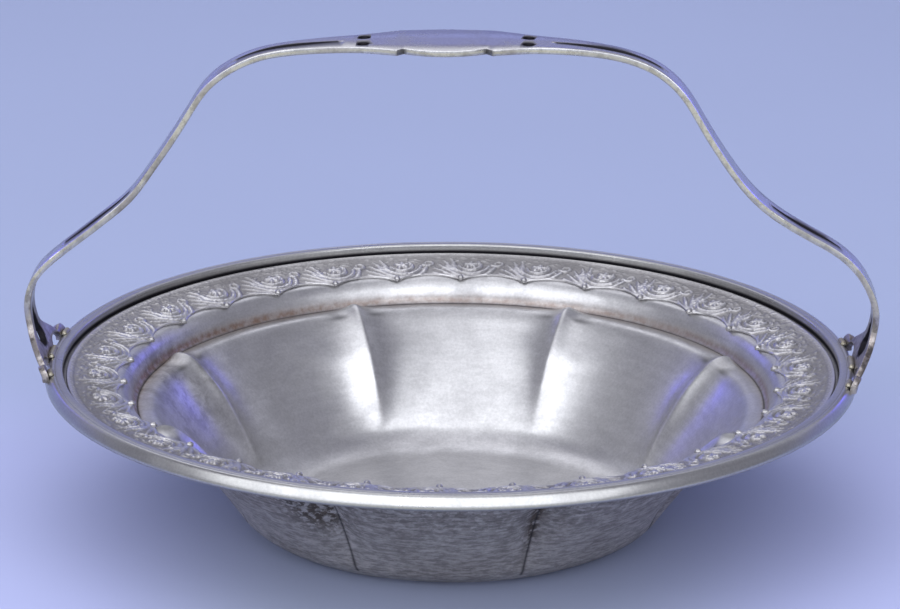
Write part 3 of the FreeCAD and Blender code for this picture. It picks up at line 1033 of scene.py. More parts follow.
    def build(self) -> list[bpy.types.Object]:
        """Build and dress the bowl.

        Returns:
            The one piece.
        """
        angle = self.columns()
        inside = self.inner_face(angle)
        radius = np.hypot(inside[..., 0], inside[..., 1])
        in_well = smooth_step(126.0, 98.0, radius) * smooth_step(40.0, 60.0, radius)
        dents = lumps(inside, self.dent_size, self.dent_seed) * self.dent_depth * in_well
        inside = inside + grid_normals(inside) * dents[..., None]
        smoothed = inside.copy()
        for _ in range(3):
            smoothed[1:-1] = (smoothed[:-2] + 2.0 * smoothed[1:-1] + smoothed[2:]) / 4.0
        outside = inside - grid_normals(smoothed) * self.sheet
        outside[..., 2] = np.maximum(outside[..., 2], 0.0)
        points = np.concatenate([inside[::-1], outside])
        mesh = grid_mesh("bowl_sheet", points, caps=True)
        piece = dressed(mesh, "bowl_sheet", self.masks(points, angle, len(inside)),
                        self.inner_finish, self.outer_stain_and_shade_finish)
        quads = (len(points) - 1) * len(angle)
        number = np.arange(len(mesh.polygons))
        outer = np.where(number < quads, number // len(angle) >= len(inside),
                         (number - quads) % 2 == 1)
        mesh.polygons.foreach_set("material_index", outer.astype(np.int32))
        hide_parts("bowl_body")
        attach(piece, "root")
        return [piece]


@dataclass(frozen=True)
class Stroke:
    """One raised leaf or scroll of the border's pattern, along a line of points.

    The widths are half widths at its start, middle and end.
    """

    points: tuple[Pair, ...]
    width: Triple
    height: float

    def raise_on(self, u: np.ndarray, v: np.ndarray) -> np.ndarray:
        """Height that the stroke adds.

        Args:
            u: Distance along the border from the cusp.
            v: Distance from the border's inner edge.

        Returns:
            Height at every place.
        """
        margin, full_width, steps_per_mm = 1.2, 0.7, 4
        line = np.array(self.points)
        length = run_length(line)
        along = np.linspace(0.0, length[-1], max(8, int(length[-1] * steps_per_mm)))
        place, _ = cubic_spline(length, line, along)
        half = np.interp(along / length[-1], (0.0, 0.5, 1.0), self.width)
        raised = np.zeros_like(u)
        (low_u, low_v), (high_u, high_v) = place.min(0) - margin, place.max(0) + margin
        near = (u > low_u) & (u < high_u) & (v > low_v) & (v < high_v)
        if near.any():
            un, vn = u[near], v[near]
            found = np.zeros_like(un)
            for (x, y), w in zip(place, half):
                inside = 1.0 - ((un - x) ** 2 + (vn - y) ** 2) / w ** 2
                rounded = np.sqrt(np.maximum(inside, 0.0)) * min(1.0, w / full_width)
                found = np.maximum(found, rounded)
            raised[near] = found * self.height
        return raised


def ring(centre: Pair, radius: float, start: float, end: float,
         end_radius: float | None = None) -> tuple[Pair, ...]:
    """Points of an arc or of a spiral.

    Args:
        centre: Its middle.
        radius: Radius at the start.
        start: First angle in degrees.
        end: Last angle in degrees.
        end_radius: Radius at the end, if it differs.

    Returns:
        The points.
    """
    count = 9
    angles = np.radians(np.linspace(start, end, count))
    radii = np.linspace(radius, radius if end_radius is None else end_radius, count)
    return tuple((centre[0] + r * math.cos(a), centre[1] + r * math.sin(a))
                 for r, a in zip(radii, angles))


@dataclass
class BorderBand:
    """Rolled strip of leaf scrolls with a scalloped inner edge and a bead at each cusp.

    The pattern's places are a length along the border from a cusp and a distance from
    the inner edge.
    """

    inner: float = 106.0
    outer: float = 126.0
    count: int = 30
    rise: float = 3.8
    thickness: float = 0.9
    sunk: float = 0.30
    edge_radius: float = 130.2
    edge_height: float = 52.5
    fall: float = 0.165
    columns: int = 64
    rows: int = 52
    pattern_radius: float = 116.0
    rose: Pair = (3.4, 10.4)
    rose_petals: int = 5
    petal_reach: Pair = (2.0, 1.8)
    fan_foot: Pair = (22.4, 2.4)
    fan_tips: tuple[Pair, ...] = (
        (14.0, 5.4), (14.4, 8.4), (16.0, 11.4), (18.0, 14.0), (20.6, 15.2), (9.4, 2.4))
    buds: tuple[Pair, ...] = ((8.6, 15.2), (16.6, 16.5), (-3.4, 15.4), (4.6, 15.9), (0.4, 16.3))
    stalks: tuple[tuple[Pair, Pair], ...] = (
        ((8.2, 6.2), (12.2, 8.0)), ((9.6, 9.4), (13.0, 10.2)), ((-4.4, 6.0), (-1.6, 3.6)),
        ((0.8, 1.9), (4.4, 2.3)), ((5.4, 14.0), (9.8, 12.6)), ((17.4, 6.6), (19.2, 10.2)),
        ((20.2, 9.8), (22.6, 13.6)), ((-2.6, 12.4), (0.6, 14.2)), ((6.6, 2.0), (9.6, 4.2)))
    # Raised lines along the scalloped edge and along the wire
    edge_line: Triple = (0.55, 0.6, 0.20)
    outer_line: Triple = (17.3, 18.2, 0.26)
    # Fine veins of the leaves
    vein_size: float = 1.7
    vein_seed: int = 21
    vein_width: float = 0.42
    vein_height: float = 0.20
    vein_dark: float = 0.17
    vein_reach: Pair = (125.4, 124.4)
    # Oxide of the border: the relief that stays clean, and its share in the ground; the edges'
    # walls get oxide with painted shade
    clean_height: float = 0.30
    ground_oxide: float = 0.44
    edge_oxide_and_shade: float = 0.12
    # Beads: where they sit, and how far they reach outwards, inwards, sideways and up
    bead_radius: float = 107.1
    bead_sides: int = 14
    bead_rings: int = 8
    bead_rise: Pair = (-0.35, math.pi / 2 - 0.12)
    bead_out: float = 1.8
    bead_in: float = 1.15
    bead_side: float = 1.1
    bead_up: float = 1.05
    bead_taper: float = 0.35
    finish: AgedSilver = AgedSilver(
        "aged_border_silver", silver=(0.71, 0.70, 0.70), dull=(0.50, 0.49, 0.50), rough=0.27,
        scratch_depth=0.000008)
    bead_finish: AgedSilver = AgedSilver("bead_silver", silver=(0.54, 0.53, 0.53), rough=0.34)

    def pattern(self) -> tuple[Stroke, ...]:
        """The leaf scroll between two beads.

        Returns:
            Its strokes.
        """
        rose_x, rose_y = self.rose
        strokes = [
            Stroke(ring(self.rose, 8.5, 168, 350), (0.6, 1.05, 0.8), 0.52),
            Stroke(ring(self.rose, 6.4, 176, 352), (0.6, 1.0, 0.75), 0.70),
            Stroke(ring(self.rose, 4.3, 184, 400, 3.2), (0.5, 0.9, 0.6), 0.82),
            Stroke(ring((12.5, 12.0), 2.3, 215, 560, 0.8), (0.75, 0.6, 0.4), 0.60),
        ]
        for number in range(self.rose_petals):
            a = math.radians(90 + 360 / self.rose_petals * number)
            tip = (rose_x + self.petal_reach[0] * math.cos(a),
                   rose_y + self.petal_reach[1] * math.sin(a))
            half_way = ((rose_x + tip[0]) / 2, (rose_y + tip[1]) / 2)
            strokes.append(Stroke((self.rose, half_way, tip), (0.6, 0.9, 0.9), 0.86))
        foot = self.fan_foot
        for tip in self.fan_tips:
            bend = ((tip[0] + foot[0]) / 2 + 0.9, (tip[1] + foot[1]) / 2 - 1.1)
            strokes.append(Stroke((foot, bend, tip), (0.4, 0.78, 0.5), 0.50))
        for x, y in self.buds:
            line = ((x - 1.5, y + 0.5), (x, y), (x + 1.9, y - 0.4))
            strokes.append(Stroke(line, (0.4, 0.8, 0.3), 0.24))
        for low, high in self.stalks:
            bend = ((low[0] + high[0]) / 2 - 0.4, (low[1] + high[1]) / 2 + 0.5)
            strokes.append(Stroke((low, bend, high), (0.3, 0.55, 0.3), 0.42))
        return tuple(strokes)

    def edge(self, angle: np.ndarray) -> np.ndarray:
        """Radius of the scalloped edge.

        Args:
            angle: Angles in radians from a cusp.

        Returns:
            The radius at each angle.
        """
        step = FULL_TURN / self.count
        away = np.mod(angle, step) - step / 2
        half = self.inner * math.sin(step / 2)
        top = self.inner + self.rise
        bulge = top - self.inner * math.cos(step / 2)
        arc = (half ** 2 + bulge ** 2) / (2 * bulge)
        centre = top - arc
        return centre * np.cos(away) + np.sqrt(arc ** 2 - (centre * np.sin(away)) ** 2)

    def flange(self, radius: float | np.ndarray) -> float | np.ndarray:
        """Height of the flange's upper face at a radius."""
        return self.edge_height - (self.edge_radius - radius) * self.fall

    def relief(self) -> tuple[np.ndarray, np.ndarray, np.ndarray]:
        """Grid of one motif.

        Returns:
            Radius, angle in radians and relief at each of its points.
        """
        step = FULL_TURN / self.count
        angle = np.arange(self.columns) / self.columns * step
        share = np.linspace(0.0, 1.0, self.rows)[:, None]
        edge = self.edge(angle)
        radius = edge + (self.outer - edge) * share
        angle = np.broadcast_to(angle, radius.shape)
        u, v = -angle * self.pattern_radius, radius - self.inner
        height = np.zeros_like(radius)
        for stroke in self.pattern():
            for shift in (-2, -1, 0, 1):
                raised = stroke.raise_on(u - shift * step * self.pattern_radius, v)
                height = np.maximum(height, raised)
        middle, half, rise = self.edge_line
        rounded = np.maximum(1.0 - ((radius - edge - middle) / half) ** 2, 0.0)
        height = np.maximum(height, rise * np.sqrt(rounded))
        start, end, rise = self.outer_line
        return radius, angle, np.maximum(height, rise * smooth_step(start, end, v))

    def band(self) -> bpy.types.Object:
        """Build and dress the band.

        Returns:
            The band.
        """
        radius, angle, height = self.relief()
        low = self.flange(radius)
        step_in = smooth_step(0.0, 3.0, radius - self.edge(angle))
        ground = low + (self.thickness - self.sunk) * (0.5 + 0.5 * step_in)
        top = ground + height * smooth_step(self.outer, self.outer - 0.5, radius)
        first = math.pi / 2
        turns = [angle + first + n * FULL_TURN / self.count for n in range(self.count)]
        angle = np.concatenate(turns, 1)
        radius, low, top, height = (np.concatenate([part] * self.count, 1)
                                    for part in (radius, low, top, height))
        face = around_axis(radius, angle, top)
        strength = np.abs(lumps(face, self.vein_size, self.vein_seed)) / self.vein_width
        veins = 1.0 - np.clip(strength, 0.0, 1.0)
        inner_part = (smooth_step(0.6, 1.6, radius - self.edge(angle - first))
                      * smooth_step(*self.vein_reach, radius))
        face[..., 2] += (veins - 0.6) * self.vein_height * inner_part
        height = height - (1.0 - veins) * self.vein_dark * inner_part
        foot = around_axis(radius, angle, low)
        points = np.concatenate([foot[-1:], face[::-1], foot[:1]])
        oxide_and_shade = np.clip(1.0 - height / self.clean_height, 0.0, 1.0) * self.ground_oxide
        # Edge walls: oxide with painted shade
        feet = np.full((1, oxide_and_shade.shape[1]), self.edge_oxide_and_shade)
        oxide_and_shade = np.concatenate([feet, oxide_and_shade[::-1], feet])
        masks = {Mask.OXIDE_AND_SHADE: oxide_and_shade, Mask.TARNISH: oxide_and_shade * 0.3, Mask.STAIN: oxide_and_shade * 0.0}
        mesh = grid_mesh("border_relief", points, close_rows=True)
        piece = dressed(mesh, "border_relief", masks, self.finish)
        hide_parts("border_band")
        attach(piece, "root")
        return piece

    def beads(self) -> bpy.types.Object:
        """Build and dress the drop shaped bead at each cusp.

        Returns:
            The piece that holds them all.
        """
        sides, rings = self.bead_sides, self.bead_rings
        turn = np.linspace(0.0, FULL_TURN, sides, endpoint=False)
        lift = np.linspace(*self.bead_rise, rings)[:, None]
        along, across = np.cos(turn) * np.cos(lift), np.sin(turn) * np.cos(lift)
        outwards = along * np.where(along > 0, self.bead_out, self.bead_in)
        taper = 1.0 - self.bead_taper * np.maximum(along, 0.0)
        upwards = np.sin(lift) * self.bead_up * np.ones(sides)
        shape = np.stack([outwards, across * self.bead_side * taper, upwards], -1)
        shape = np.vstack([shape.reshape(-1, 3), [0.0, 0.0, self.bead_up]])
        pairs = [(c, (c + 1) % sides) for c in range(sides)]
        faces = [(r * sides + c, r * sides + d, (r + 1) * sides + d, (r + 1) * sides + c)
                 for r in range(rings - 1) for c, d in pairs]
        faces += [((rings - 1) * sides + c, (rings - 1) * sides + d, len(shape) - 1)
                  for c, d in pairs]
        height = self.flange(self.bead_radius) + self.thickness - self.sunk
        all_verts, all_faces = [], []
        for number in range(self.count):
            angle = math.pi / 2 + number * FULL_TURN / self.count
            axes = np.array([[math.cos(angle), math.sin(angle), 0.0],
                             [-math.sin(angle), math.cos(angle), 0.0], [0.0, 0.0, 1.0]])
            all_verts.append(shape @ axes + np.array([self.bead_radius, 0.0, height]) @ axes)
            all_faces += [tuple(number * len(shape) + i for i in face) for face in faces]
        mesh = bpy.data.meshes.new("border_beads")
        mesh.from_pydata((np.concatenate(all_verts) * MM).tolist(), [], all_faces)
        smooth_shaded(mesh)
        masks = {which: np.zeros(len(mesh.vertices)) for which in Mask}
        piece = dressed(mesh, "border_beads", masks, self.bead_finish)
        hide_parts("border_band")
        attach(piece, "root")
        return piece

    def build(self) -> list[bpy.types.Object]:
        """Build and dress the band and its beads."""
        return [self.band(), self.beads()]


@dataclass
class RimWire:
    """Drawn moulding that laps the flange's edge, as a closed section of radius and height."""

    section: tuple[Pair, ...] = (
        (127.2, 51.4), (127.2, 52.4), (127.2, 52.8), (127.2, 53.2), (127.2, 53.7),
        (127.2, 54.2), (127.2, 54.7), (127.27, 55.0), (127.45, 55.22), (127.75, 55.3),
        (128.6, 55.3), (129.4, 55.3), (129.58, 55.27), (129.77, 55.17), (129.96, 55.27),
        (130.2, 55.3), (130.6, 55.27), (130.95, 55.16), (131.25, 54.96), (131.52, 54.68),
        (131.8, 54.28), (132.08, 53.84), (132.34, 53.38), (132.58, 52.92), (132.79, 52.48),
        (132.94, 52.06), (133.0, 51.68), (132.95, 51.32), (132.75, 51.02), (132.4, 50.8),
        (131.9, 50.68), (131.4, 50.66), (130.9, 50.75), (130.2, 51.5))
    columns: int = 360
    # Unevenness of the drawn wire: size, depth and seed of each kind
    shakes: tuple[tuple[float, float, int], ...] = ((60.0, 0.05, 11), (14.0, 0.02, 12))
    # Oxide in the fine line on top; painted shade down the inner side, facing the band, and under
    # the wire
    fine_line: Pair = (129.77, 0.12)
    line_oxide: float = 0.3
    side_reach: Pair = (127.6, 127.2)
    side_drop: Pair = (53.7, 52.8)
    under_drop: Pair = (52.0, 51.0)
    painted_shade_under: float = 0.4
    finish: AgedSilver = AgedSilver(
        "aged_wire_silver", silver=(0.53, 0.53, 0.52), rough=0.27, dull_share=0.35)

    def build(self) -> list[bpy.types.Object]:
        """Build and dress the wire.

        Returns:
            The one piece.
        """
        radius, height = np.array(self.section).T
        angle = np.linspace(0.0, FULL_TURN, self.columns, endpoint=False)
        points = around_axis(radius[:, None], angle, height[:, None])
        shake = sum(lumps(points, size, seed) * depth for size, depth, seed in self.shakes)
        out = points / np.linalg.norm(points, axis=2, keepdims=True)
        points = points - out * np.abs(shake)[..., None]
        line = hump(radius, *self.fine_line) * self.line_oxide
        # Painted shade: the inner side facing the band, and the underside
        inner_side = smooth_step(*self.side_reach, radius) * smooth_step(*self.side_drop, height)
        under = smooth_step(*self.under_drop, height) * self.painted_shade_under
        oxide_and_shade = np.repeat(np.clip(line + inner_side + under, 0, 1)[:, None], self.columns, 1)
        masks = {Mask.OXIDE_AND_SHADE: oxide_and_shade, Mask.TARNISH: oxide_and_shade * 0.2, Mask.STAIN: oxide_and_shade * 0.0}
        mesh = grid_mesh("rim_moulding", points, close_rows=True)
        piece = dressed(mesh, "rim_moulding", masks, self.finish)
        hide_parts("rim_wire")
        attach(piece, "root")
        return [piece]


@dataclass(frozen=True)
class PlatePath:
    """Outer face of the handle's plate, seen from the front, as a fine run of samples."""

    length: np.ndarray
    place: np.ndarray
    slope: np.ndarray
    rim_height: float
    terminal_top: float

    def on_strap(self, x: float | np.ndarray) -> np.ndarray:
        """Length along the path, on the strap.

        Args:
            x: Places in plan.

        Returns:
            The lengths.
        """
        strap = self.place[:, 1] >= self.rim_height + self.terminal_top - 0.01
        rising = np.maximum.accumulate(self.place[strap, 0])
        return np.interp(x, rising, self.length[strap])

    def on_terminal(self, side: int, z: float | np.ndarray) -> np.ndarray:
        """Length along the path, on one terminal.

        Args:
            side: -1 for the left terminal, 1 for the right one.
            z: Heights over the rim.

        Returns:
            The lengths.
        """
        heights = self.place[:, 1] - self.rim_height
        part = (heights <= self.terminal_top + 0.5) & (np.sign(self.place[:, 0]) == side)
        order = np.argsort(heights[part])
        return np.interp(z, heights[part][order], self.length[part][order])


@dataclass
class Handle:
    """Pierced strap with its plaque and both terminals, bent from one flat plate.

    Both paths are shares of the half span and of the rise, from the crown outwards. In
    plan, a place is a share of the half span, and its width one of the strap's. On a
    terminal, a place is a share of its top over the rim, and its lean or width one of
    its own.
    """

    rim_radius: float = 133.0
    rim_height: float = 53.0
    rise: float = 109.8
    half_span: float = 139.6
    thickness: float = 2.1
    bevel: float = 0.34
    crown_shift: float = 1.9
    seat_inset: float = 1.1
    foot_heights: Pair = (1.8, 0.2)
    path_samples: int = 2400
    terminal_top: float = 20.0
    terminal_half_width: float = 25.0
    plaque_half_length: float = 13.2
    plaque_half_width: float = 14.2
    plaque_end_half_width: float = 10.6
    cusp_length: float = 2.0
    cusp_half_width: float = 12.8
    strap_half_width: float = 6.9
    strap_end_half_width: float = 6.2
    left_path: tuple[Pair, ...] = (
        (.100, .999), (.215, .995), (.358, .981), (.451, .958), (.516, .920), (.570, .865),
        (.616, .779), (.659, .692), (.706, .604), (.752, .526), (.810, .460), (.874, .395),
        (.938, .330), (.980, .270), (.996, .218))
    right_path: tuple[Pair, ...] = (
        (.100, 1.001), (.215, .997), (.344, .982), (.430, .956), (.487, .920), (.541, .856),
        (.587, .763), (.634, .668), (.677, .592), (.724, .528), (.781, .474), (.845, .426),
        (.910, .376), (.956, .319), (.983, .261), (.996, .215))
    plan: tuple[Pair, ...] = (
        (.140, 1.62), (.190, 1.26), (.245, 1.06), (.310, .92), (.400, .82), (.490, .88),
        (.580, .98), (.650, 1.00), (.740, .90), (.850, .84), (.940, .84), (.975, .88))
    lean: tuple[Pair, ...] = ((.70, .88), (.475, .67), (.30, .37), (.16, .11))
    flare: tuple[Pair, ...] = ((.71, .255), (.58, .295), (.42, .44), (.27, .63))
    # Foot of a terminal, in height and width: neck, side lobe, its two corners, arch, end.
    # A turn is the first angle, the last angle and the number of points.
    neck: Pair = (3.2, 17.8)
    lobe_middle: Pair = (1.1, 21.8)
    lobe_radius: float = 3.2
    lobe_turn: tuple[float, float, int] = (100.0, 0.0, 12)
    side_foot: tuple[Pair, Pair] = ((0.2, 25.0), (0.2, 19.4))
    arch_middle: Pair = (0.2, 13.2)
    arch_radii: Pair = (3.4, 6.2)
    arch_turn: tuple[float, float, int] = (8.0, 172.0, 14)
    middle_foot: Pair = (0.2, 7.0)
    hole_share: float = 0.190
    hole_spread: float = 4.1
    hole_radius: float = 1.8
    hole_sides: int = 26
    slot_half_width: float = 1.3
    slot_points: int = 40
    upper_slot: Pair = (.252, .492)
    lower_slot: Pair = (.748, .905)
    teardrop_tip: float = 18.0
    teardrop_middle: float = 8.7
    teardrop_radius: float = 4.5
    teardrop_turn: tuple[float, float, int] = (-10.0, -170.0, 16)
    # Painted shade on the walls of the openings: step along them, and how far it reaches
    wall_step: float = 0.15
    wall_reach: Pair = (0.72, 0.30)
    # Steps of the cuts that let the plate bend and its feet curl round the rim
    bend_step: float = 1.5
    curl_step: float = 2.0
    curl_reach: float = 24.0
    curl_heights: Pair = (27.0, 17.0)
    # Dark spots on the strap's narrow edges: from x, to x, and strength
    edge_spots: tuple[Triple, ...] = (
        (-108, -102, 1.0), (-98, -90, .8), (-82, -77, .7), (17, 20, .8), (-42, -33, .4),
        (132, 137, .7))
    spot_seed: int = 5
    finish: AgedSilver = AgedSilver(
        "aged_handle_silver", rough=0.21, dull_share=0.4, stain_scale=300.0)

    def path(self) -> PlatePath:
        """Path of the plate from the left foot over the crown to the right foot.

        Returns:
            The path.
        """
        seat = self.rim_radius - self.seat_inset + self.thickness
        reach = self.half_span - seat
        runs = []
        for side, shares in ((-1, self.left_path), (1, self.right_path)):
            run = [(a * self.half_span, r * self.rise) for a, r in shares]
            run.append((self.half_span, self.terminal_top))
            run += [(seat + lean * reach, rise * self.terminal_top) for rise, lean in self.lean]
            run += [(seat, height) for height in self.foot_heights]
            runs.append([(side * x, self.rim_height + z) for x, z in run])
        crown = (-self.crown_shift, self.rim_height + self.rise)
        line = np.array(runs[0][::-1] + [crown] + runs[1])
        knots = run_length(line)
        at = np.linspace(0.0, knots[-1], self.path_samples)
        place, slope = cubic_spline(knots, line, at)
        length = run_length(place)
        length -= np.interp(knots[len(runs[0])], at, length)
        slope /= np.linalg.norm(slope, axis=1, keepdims=True)
        return PlatePath(length, place, slope, self.rim_height, self.terminal_top)

    def strap_edge(self, path: PlatePath, side: int) -> np.ndarray:
        """Edge of one side's strap, from the plaque to the terminal's top.

        Args:
            path: The plate's path.
            side: -1 for the left side, 1 for the right one.

        Returns:
            Points of length along the path and half width.
        """
        shift = -self.crown_shift
        start = shift + side * (self.plaque_half_length + self.cusp_length)
        plan = [(start, self.cusp_half_width)]
        plan += [(shift * (1 - along) + side * along * self.half_span,
                  width * self.strap_half_width) for along, width in self.plan]
        plan.append((side * self.half_span, self.strap_end_half_width))
        keys = run_length(np.array(plan))
        smooth, _ = cubic_spline(keys, np.array(plan), np.linspace(0.0, keys[-2], 120))
        edge = np.stack([path.on_strap(smooth[:, 0]), smooth[:, 1]], -1)
        end = np.array([path.on_terminal(side, self.terminal_top), self.strap_end_half_width])
        ease = np.linspace(0.0, 1.0, 14)[1:, None]
        return np.vstack([edge, edge[-1] + (end - edge[-1]) * ease])

    def terminal_edge(self, path: PlatePath, side: int) -> np.ndarray:
        """Edge of one side's terminal, from its top to the middle of its foot.

        Args:
            path: The plate's path.
            side: -1 for the left side, 1 for the right one.

        Returns:
            Points of length along the path and half width.
        """
        flare = np.array([(self.terminal_top, self.strap_end_half_width)]
                         + [(rise * self.terminal_top, width * self.terminal_half_width)
                            for rise, width in self.flare])
        keys = run_length(flare)
        smooth, _ = cubic_spline(keys, flare, np.linspace(0.0, keys[-1], 30)[1:])
        lobe, arch = (np.radians(np.linspace(*turn)) for turn in (self.lobe_turn, self.arch_turn))
        lobe = self.lobe_middle + self.lobe_radius * np.stack([np.sin(lobe), np.cos(lobe)], -1)
        arch = self.arch_middle + self.arch_radii * np.stack([np.sin(arch), np.cos(arch)], -1)
        outline = np.vstack([smooth, self.neck, lobe, self.side_foot, arch, self.middle_foot])
        return np.stack([path.on_terminal(side, outline[:, 0]), outline[:, 1]], -1)

    def plaque_edge(self, path: PlatePath, notched: bool) -> np.ndarray:
        """Edge of the plaque, from its left end to its right end.

        Args:
            path: The plate's path.
            notched: Whether the plaque's ends show as notches, or straight lines touch it.

        Returns:
            Points of length along the path and half width.
        """
        turn = np.linspace(-1.0, 1.0, 41)
        crown = self.plaque_half_width - self.plaque_end_half_width
        width = self.plaque_end_half_width + crown * (1 - turn ** 2)
        if not notched:
            away = np.abs(turn) * self.plaque_half_length
            rest = self.plaque_half_length + self.cusp_length - away
            slopes = (width - self.cusp_half_width) / rest
            straight = self.cusp_half_width + rest * slopes.max()
            width = np.where(away >= away[slopes.argmax()], straight, width)
        along = path.on_strap(turn * self.plaque_half_length - self.crown_shift)
        return np.stack([along, width], -1)

    def half_outline(self, path: PlatePath, notched: bool) -> np.ndarray:
        """Edge of one half of the flat plate, from the left foot to the right foot.

        Args:
            path: The plate's path.
            notched: Whether the plaque's ends show as notches.

        Returns:
            Points of length along the path and half width.
        """
        left, right = (np.vstack([self.strap_edge(path, side), self.terminal_edge(path, side)])
                       for side in (-1, 1))
        return np.vstack([left[::-1], self.plaque_edge(path, notched), right])

    def openings(self, path: PlatePath) -> list[np.ndarray]:
        """Outlines of the holes, slots and teardrops in the flat plate.

        Args:
            path: The plate's path.

        Returns:
            Points of length along the path and distance across, for each opening.
        """
        shift = -self.crown_shift
        found = []
        for side in (-1, 1):
            middle = path.on_strap(shift + side * self.hole_share * self.half_span)
            a = np.linspace(0.0, FULL_TURN, self.hole_sides, endpoint=False)
            along, across = self.hole_radius * np.cos(a), self.hole_radius * np.sin(a)
            for front in (-self.hole_spread, self.hole_spread):
                found.append(np.stack([middle + along, front + across], -1))
            t = np.linspace(-1.0, 1.0, self.slot_points)
            for shares in (self.upper_slot, self.lower_slot):
                ends = [shift * (1 - k) + side * k * self.half_span for k in shares]
                start, end = path.on_strap(ends)
                upper = np.stack([(start + end) / 2 + t * (end - start) / 2,
                                  self.slot_half_width * (1 - t ** 2)], -1)
                found.append(np.vstack([upper, upper[::-1][1:-1] * np.array([1.0, -1.0])]))
            a = np.radians(np.linspace(*self.teardrop_turn))
            drop = self.teardrop_middle + self.teardrop_radius * np.sin(a)
            z = path.on_terminal(side, np.append(self.teardrop_tip, drop))
            found.append(np.stack([z, np.append(0.0, self.teardrop_radius * np.cos(a))], -1))
        return found

    def in_openings(self, path: PlatePath, s: np.ndarray, y: np.ndarray) -> np.ndarray:
        """How much places of the flat plate belong to the walls of its openings.

        Args:
            path: The plate's path.
            s: Length along the path.
            y: Distance across.

        Returns:
            1 on a wall, 0 beyond its rounded edge.
        """
        found = np.zeros_like(s)
        for outline in self.openings(path):
            closed = np.vstack([outline, outline[:1]])
            run = run_length(closed)
            at = np.arange(0.0, run[-1], self.wall_step)
            line = np.stack([np.interp(at, run, side) for side in closed.T], -1)
            (low_s, low_y), (high_s, high_y) = line.min(0) - 1, line.max(0) + 1
            near = np.nonzero((s > low_s) & (s < high_s) & (y > low_y) & (y < high_y))[0]
            gap = np.min(np.hypot(s[near, None] - line[:, 0], y[near, None] - line[:, 1]), axis=1)
            found[near] = np.maximum(found[near], smooth_step(*self.wall_reach, gap))
        return found

    def plate(self, path: PlatePath) -> bpy.types.Mesh:
        """Flat plate with rounded edges.

        Args:
            path: The plate's path.

        Returns:
            The plate, with its length along X, its width along Y and its outer face up.
        """
        back, front = self.half_outline(path, False), self.half_outline(path, True)
        outline = np.vstack([back, front[::-1] * np.array([1.0, -1.0])])
        keep = np.ones(len(outline), bool)
        keep[1:] = np.hypot(*np.diff(outline, axis=0).T) > 0.02
        curve = bpy.data.curves.new("plate", "CURVE")
        curve.dimensions = "2D"
        curve.fill_mode = "BOTH"
        for edge in [outline[keep]] + self.openings(path):
            spline = curve.splines.new("POLY")
            spline.points.add(len(edge) - 1)
            flat = np.zeros((len(edge), 4))
            flat[:, :2] = edge
            flat[:, 3] = 1.0
            spline.points.foreach_set("co", flat.ravel())
            spline.use_cyclic_u = True
        curve.extrude = self.thickness / 2 - self.bevel
        curve.bevel_depth = self.bevel
        curve.bevel_resolution = 1
        curve.offset = -self.bevel
        holder = bpy.data.objects.new("plate", curve)
        bpy.context.scene.collection.objects.link(holder)
        bpy.context.view_layer.update()
        made = holder.evaluated_get(bpy.context.evaluated_depsgraph_get())
        mesh = bpy.data.meshes.new_from_object(made)
        bpy.data.objects.remove(holder)
        bpy.data.curves.remove(curve)
        return mesh

    def divide(self, mesh: bpy.types.Mesh, low: float, high: float) -> None:
        """Cut the flat plate across, so that it can bend, and its feet along, to curl.

        Args:
            mesh: The plate.
            low: Its first length.
            high: Its last length.
        """
        work = bmesh.new()
        work.from_mesh(mesh)
        bmesh.ops.remove_doubles(work, verts=work.verts, dist=0.004)
        bmesh.ops.dissolve_limit(work, angle_limit=math.radians(0.6), verts=list(work.verts),
                                 edges=list(work.edges))
        for x in np.arange(low + self.bend_step, high, self.bend_step):
            faces = {f for e in work.edges if (e.verts[0].co.x - x) * (e.verts[1].co.x - x) < 0
                     for f in e.link_faces}
            self.cut(work, faces, (x, 0, 0), (1, 0, 0))
        for y in np.arange(-self.curl_reach, self.curl_reach + 0.1, self.curl_step):
            faces = [f for f in work.faces
                     if abs(f.calc_center_median().x) > abs(high) - self.curl_reach
                     and min(v.co.y for v in f.verts) < y < max(v.co.y for v in f.verts)]
            self.cut(work, faces, (0, y, 0), (0, 1, 0))
        work.to_mesh(mesh)
        work.free()

    def cut(self, work: bmesh.types.BMesh, faces: Collection[bmesh.types.BMFace],
            point: Triple, across: Triple) -> None:
        """Cut faces along a plane.

        Args:
            work: The mesh being cut.
            faces: The faces to cut.
            point: A point of the plane.
            across: The plane's normal.
        """
        edges = {e for f in faces for e in f.edges}
        verts = {v for f in faces for v in f.verts}
        bmesh.ops.bisect_plane(work, geom=list(verts) + list(edges) + list(faces),
                               plane_co=point, plane_no=across, dist=0.002)

    def bent(self, path: PlatePath, s: np.ndarray, y: np.ndarray,
             w: np.ndarray) -> tuple[np.ndarray, np.ndarray]:
        """Bend places of the flat plate along the path and round the rim.

        Args:
            path: The plate's path.
            s: Length along the path.
            y: Distance across.
            w: Height over the plate's middle.

        Returns:
            x and z of the places.
        """
        at_x, at_z = (np.interp(s, path.length, path.place[:, i]) for i in (0, 1))
        slope_x, slope_z = (np.interp(s, path.length, path.slope[:, i]) for i in (0, 1))
        depth = w - self.thickness / 2
        x = at_x - slope_z * depth
        z = at_z + slope_x * depth
        curl = smooth_step(*self.curl_heights, z - self.rim_height)
        rho = np.abs(x)
        rolled = np.sqrt(np.maximum(rho ** 2 - y ** 2, 0.0)) - rho
        return np.sign(x) * (rho + rolled * curl), z

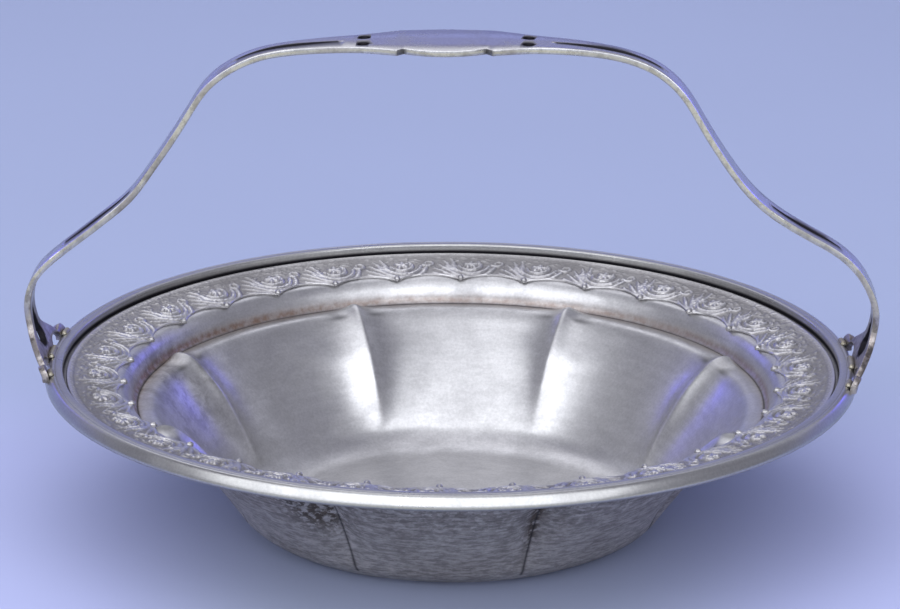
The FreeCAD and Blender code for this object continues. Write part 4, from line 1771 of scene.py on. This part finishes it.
    def masks(self, path: PlatePath, flat: np.ndarray, x: np.ndarray,
              z: np.ndarray) -> dict[Mask, np.ndarray]:
        """Where painted shade, oxide, tarnish and stains lie on the handle.

        Args:
            path: The plate's path.
            flat: Places on the flat plate.
            x: x of the bent places.
            z: z of the bent places.

        Returns:
            One value per vertex for each mask.
        """
        s, y, w = flat.T
        narrow_edge = 1.0 - smooth_step(0.55, 0.9, np.abs(w) / (self.thickness / 2))
        rng = np.random.default_rng(self.spot_seed)
        spots = np.zeros(len(flat))
        for start, end, amount in self.edge_spots:
            spots += (amount * smooth_step(start - 1.5, start + 0.5, x)
                      * smooth_step(end + 1.5, end - 0.5, x))
        spots *= narrow_edge * (rng.random(len(flat)) * 0.5 + 0.5) * 0.55
        # Painted shade on the walls of the openings; at the plaque's front notches, partly tarnish
        # and partly painted shade
        from_end = np.abs(np.abs(x + self.crown_shift) - self.plaque_half_length - 0.7)
        notch = smooth_step(2.2, 0.9, from_end) * (y < -9.0) * narrow_edge
        dark = np.maximum(self.in_openings(path, s, y), notch * 0.95)
        # Darker and duller towards the feet
        darker_low = smooth_step(self.rim_height + 34.0, self.rim_height + 12.0, z)
        return {Mask.OXIDE_AND_SHADE: np.clip(np.maximum(dark, spots * 0.5) + darker_low * 0.12, 0, 1),
                Mask.TARNISH: np.clip(spots + darker_low * 0.45, 0, 1),
                Mask.STAIN: np.clip(narrow_edge * 0.35 + darker_low * 0.4, 0, 1)}

    def build(self) -> list[bpy.types.Object]:
        """Build, bend and dress the handle.

        Returns:
            The one piece.
        """
        path = self.path()
        mesh = self.plate(path)
        mesh.name = "handle_strap"
        self.divide(mesh, path.length[0], path.length[-1])
        flat = np.empty(len(mesh.vertices) * 3)
        mesh.vertices.foreach_get("co", flat)
        flat = flat.reshape(-1, 3)
        x, z = self.bent(path, *flat.T)
        mesh.vertices.foreach_set("co", (np.stack([x, flat[:, 1], z], -1) * MM).ravel())
        mesh.update()
        smooth_shaded(mesh)
        mesh.set_sharp_from_angle(angle=math.radians(38.0))
        piece = dressed(mesh, "handle_strap", self.masks(path, flat, x, z), self.finish)
        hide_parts("handle")
        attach(piece, "root")
        return [piece]


@dataclass
class Solder:
    """Fillets of solder under the terminals, whose shapes the frame already holds."""

    nodes: tuple[str, ...] = ("solder_left", "solder_right")
    finish: AgedSilver = AgedSilver(
        "solder_metal", silver=(0.47, 0.44, 0.36), dull=(0.30, 0.27, 0.21), rough=0.40,
        pit_depth=0.00015)

    def build(self) -> list[bpy.types.Object]:
        """Dress the solder.

        Returns:
            The frame's own pieces, with their finish.
        """
        material = self.finish.build()
        pieces = [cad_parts[name] for name in self.nodes]
        for piece in pieces:
            piece.data.materials.clear()
            piece.data.materials.append(material)
        return pieces


def main() -> None:
    """Build the studio and every piece of the basket, in order."""
    logging.basicConfig(level=logging.INFO, format="%(message)s")
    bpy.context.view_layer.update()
    bpy.context.scene.view_settings.view_transform = "Standard"
    Camera().build()
    Studio().build()
    for maker in (Bowl(), BorderBand(), RimWire(), Handle(), Solder()):
        for piece in maker.build():
            LOG.info("%s: %d faces", piece.name, len(piece.data.polygons))


if __name__ == "__main__":
    main()
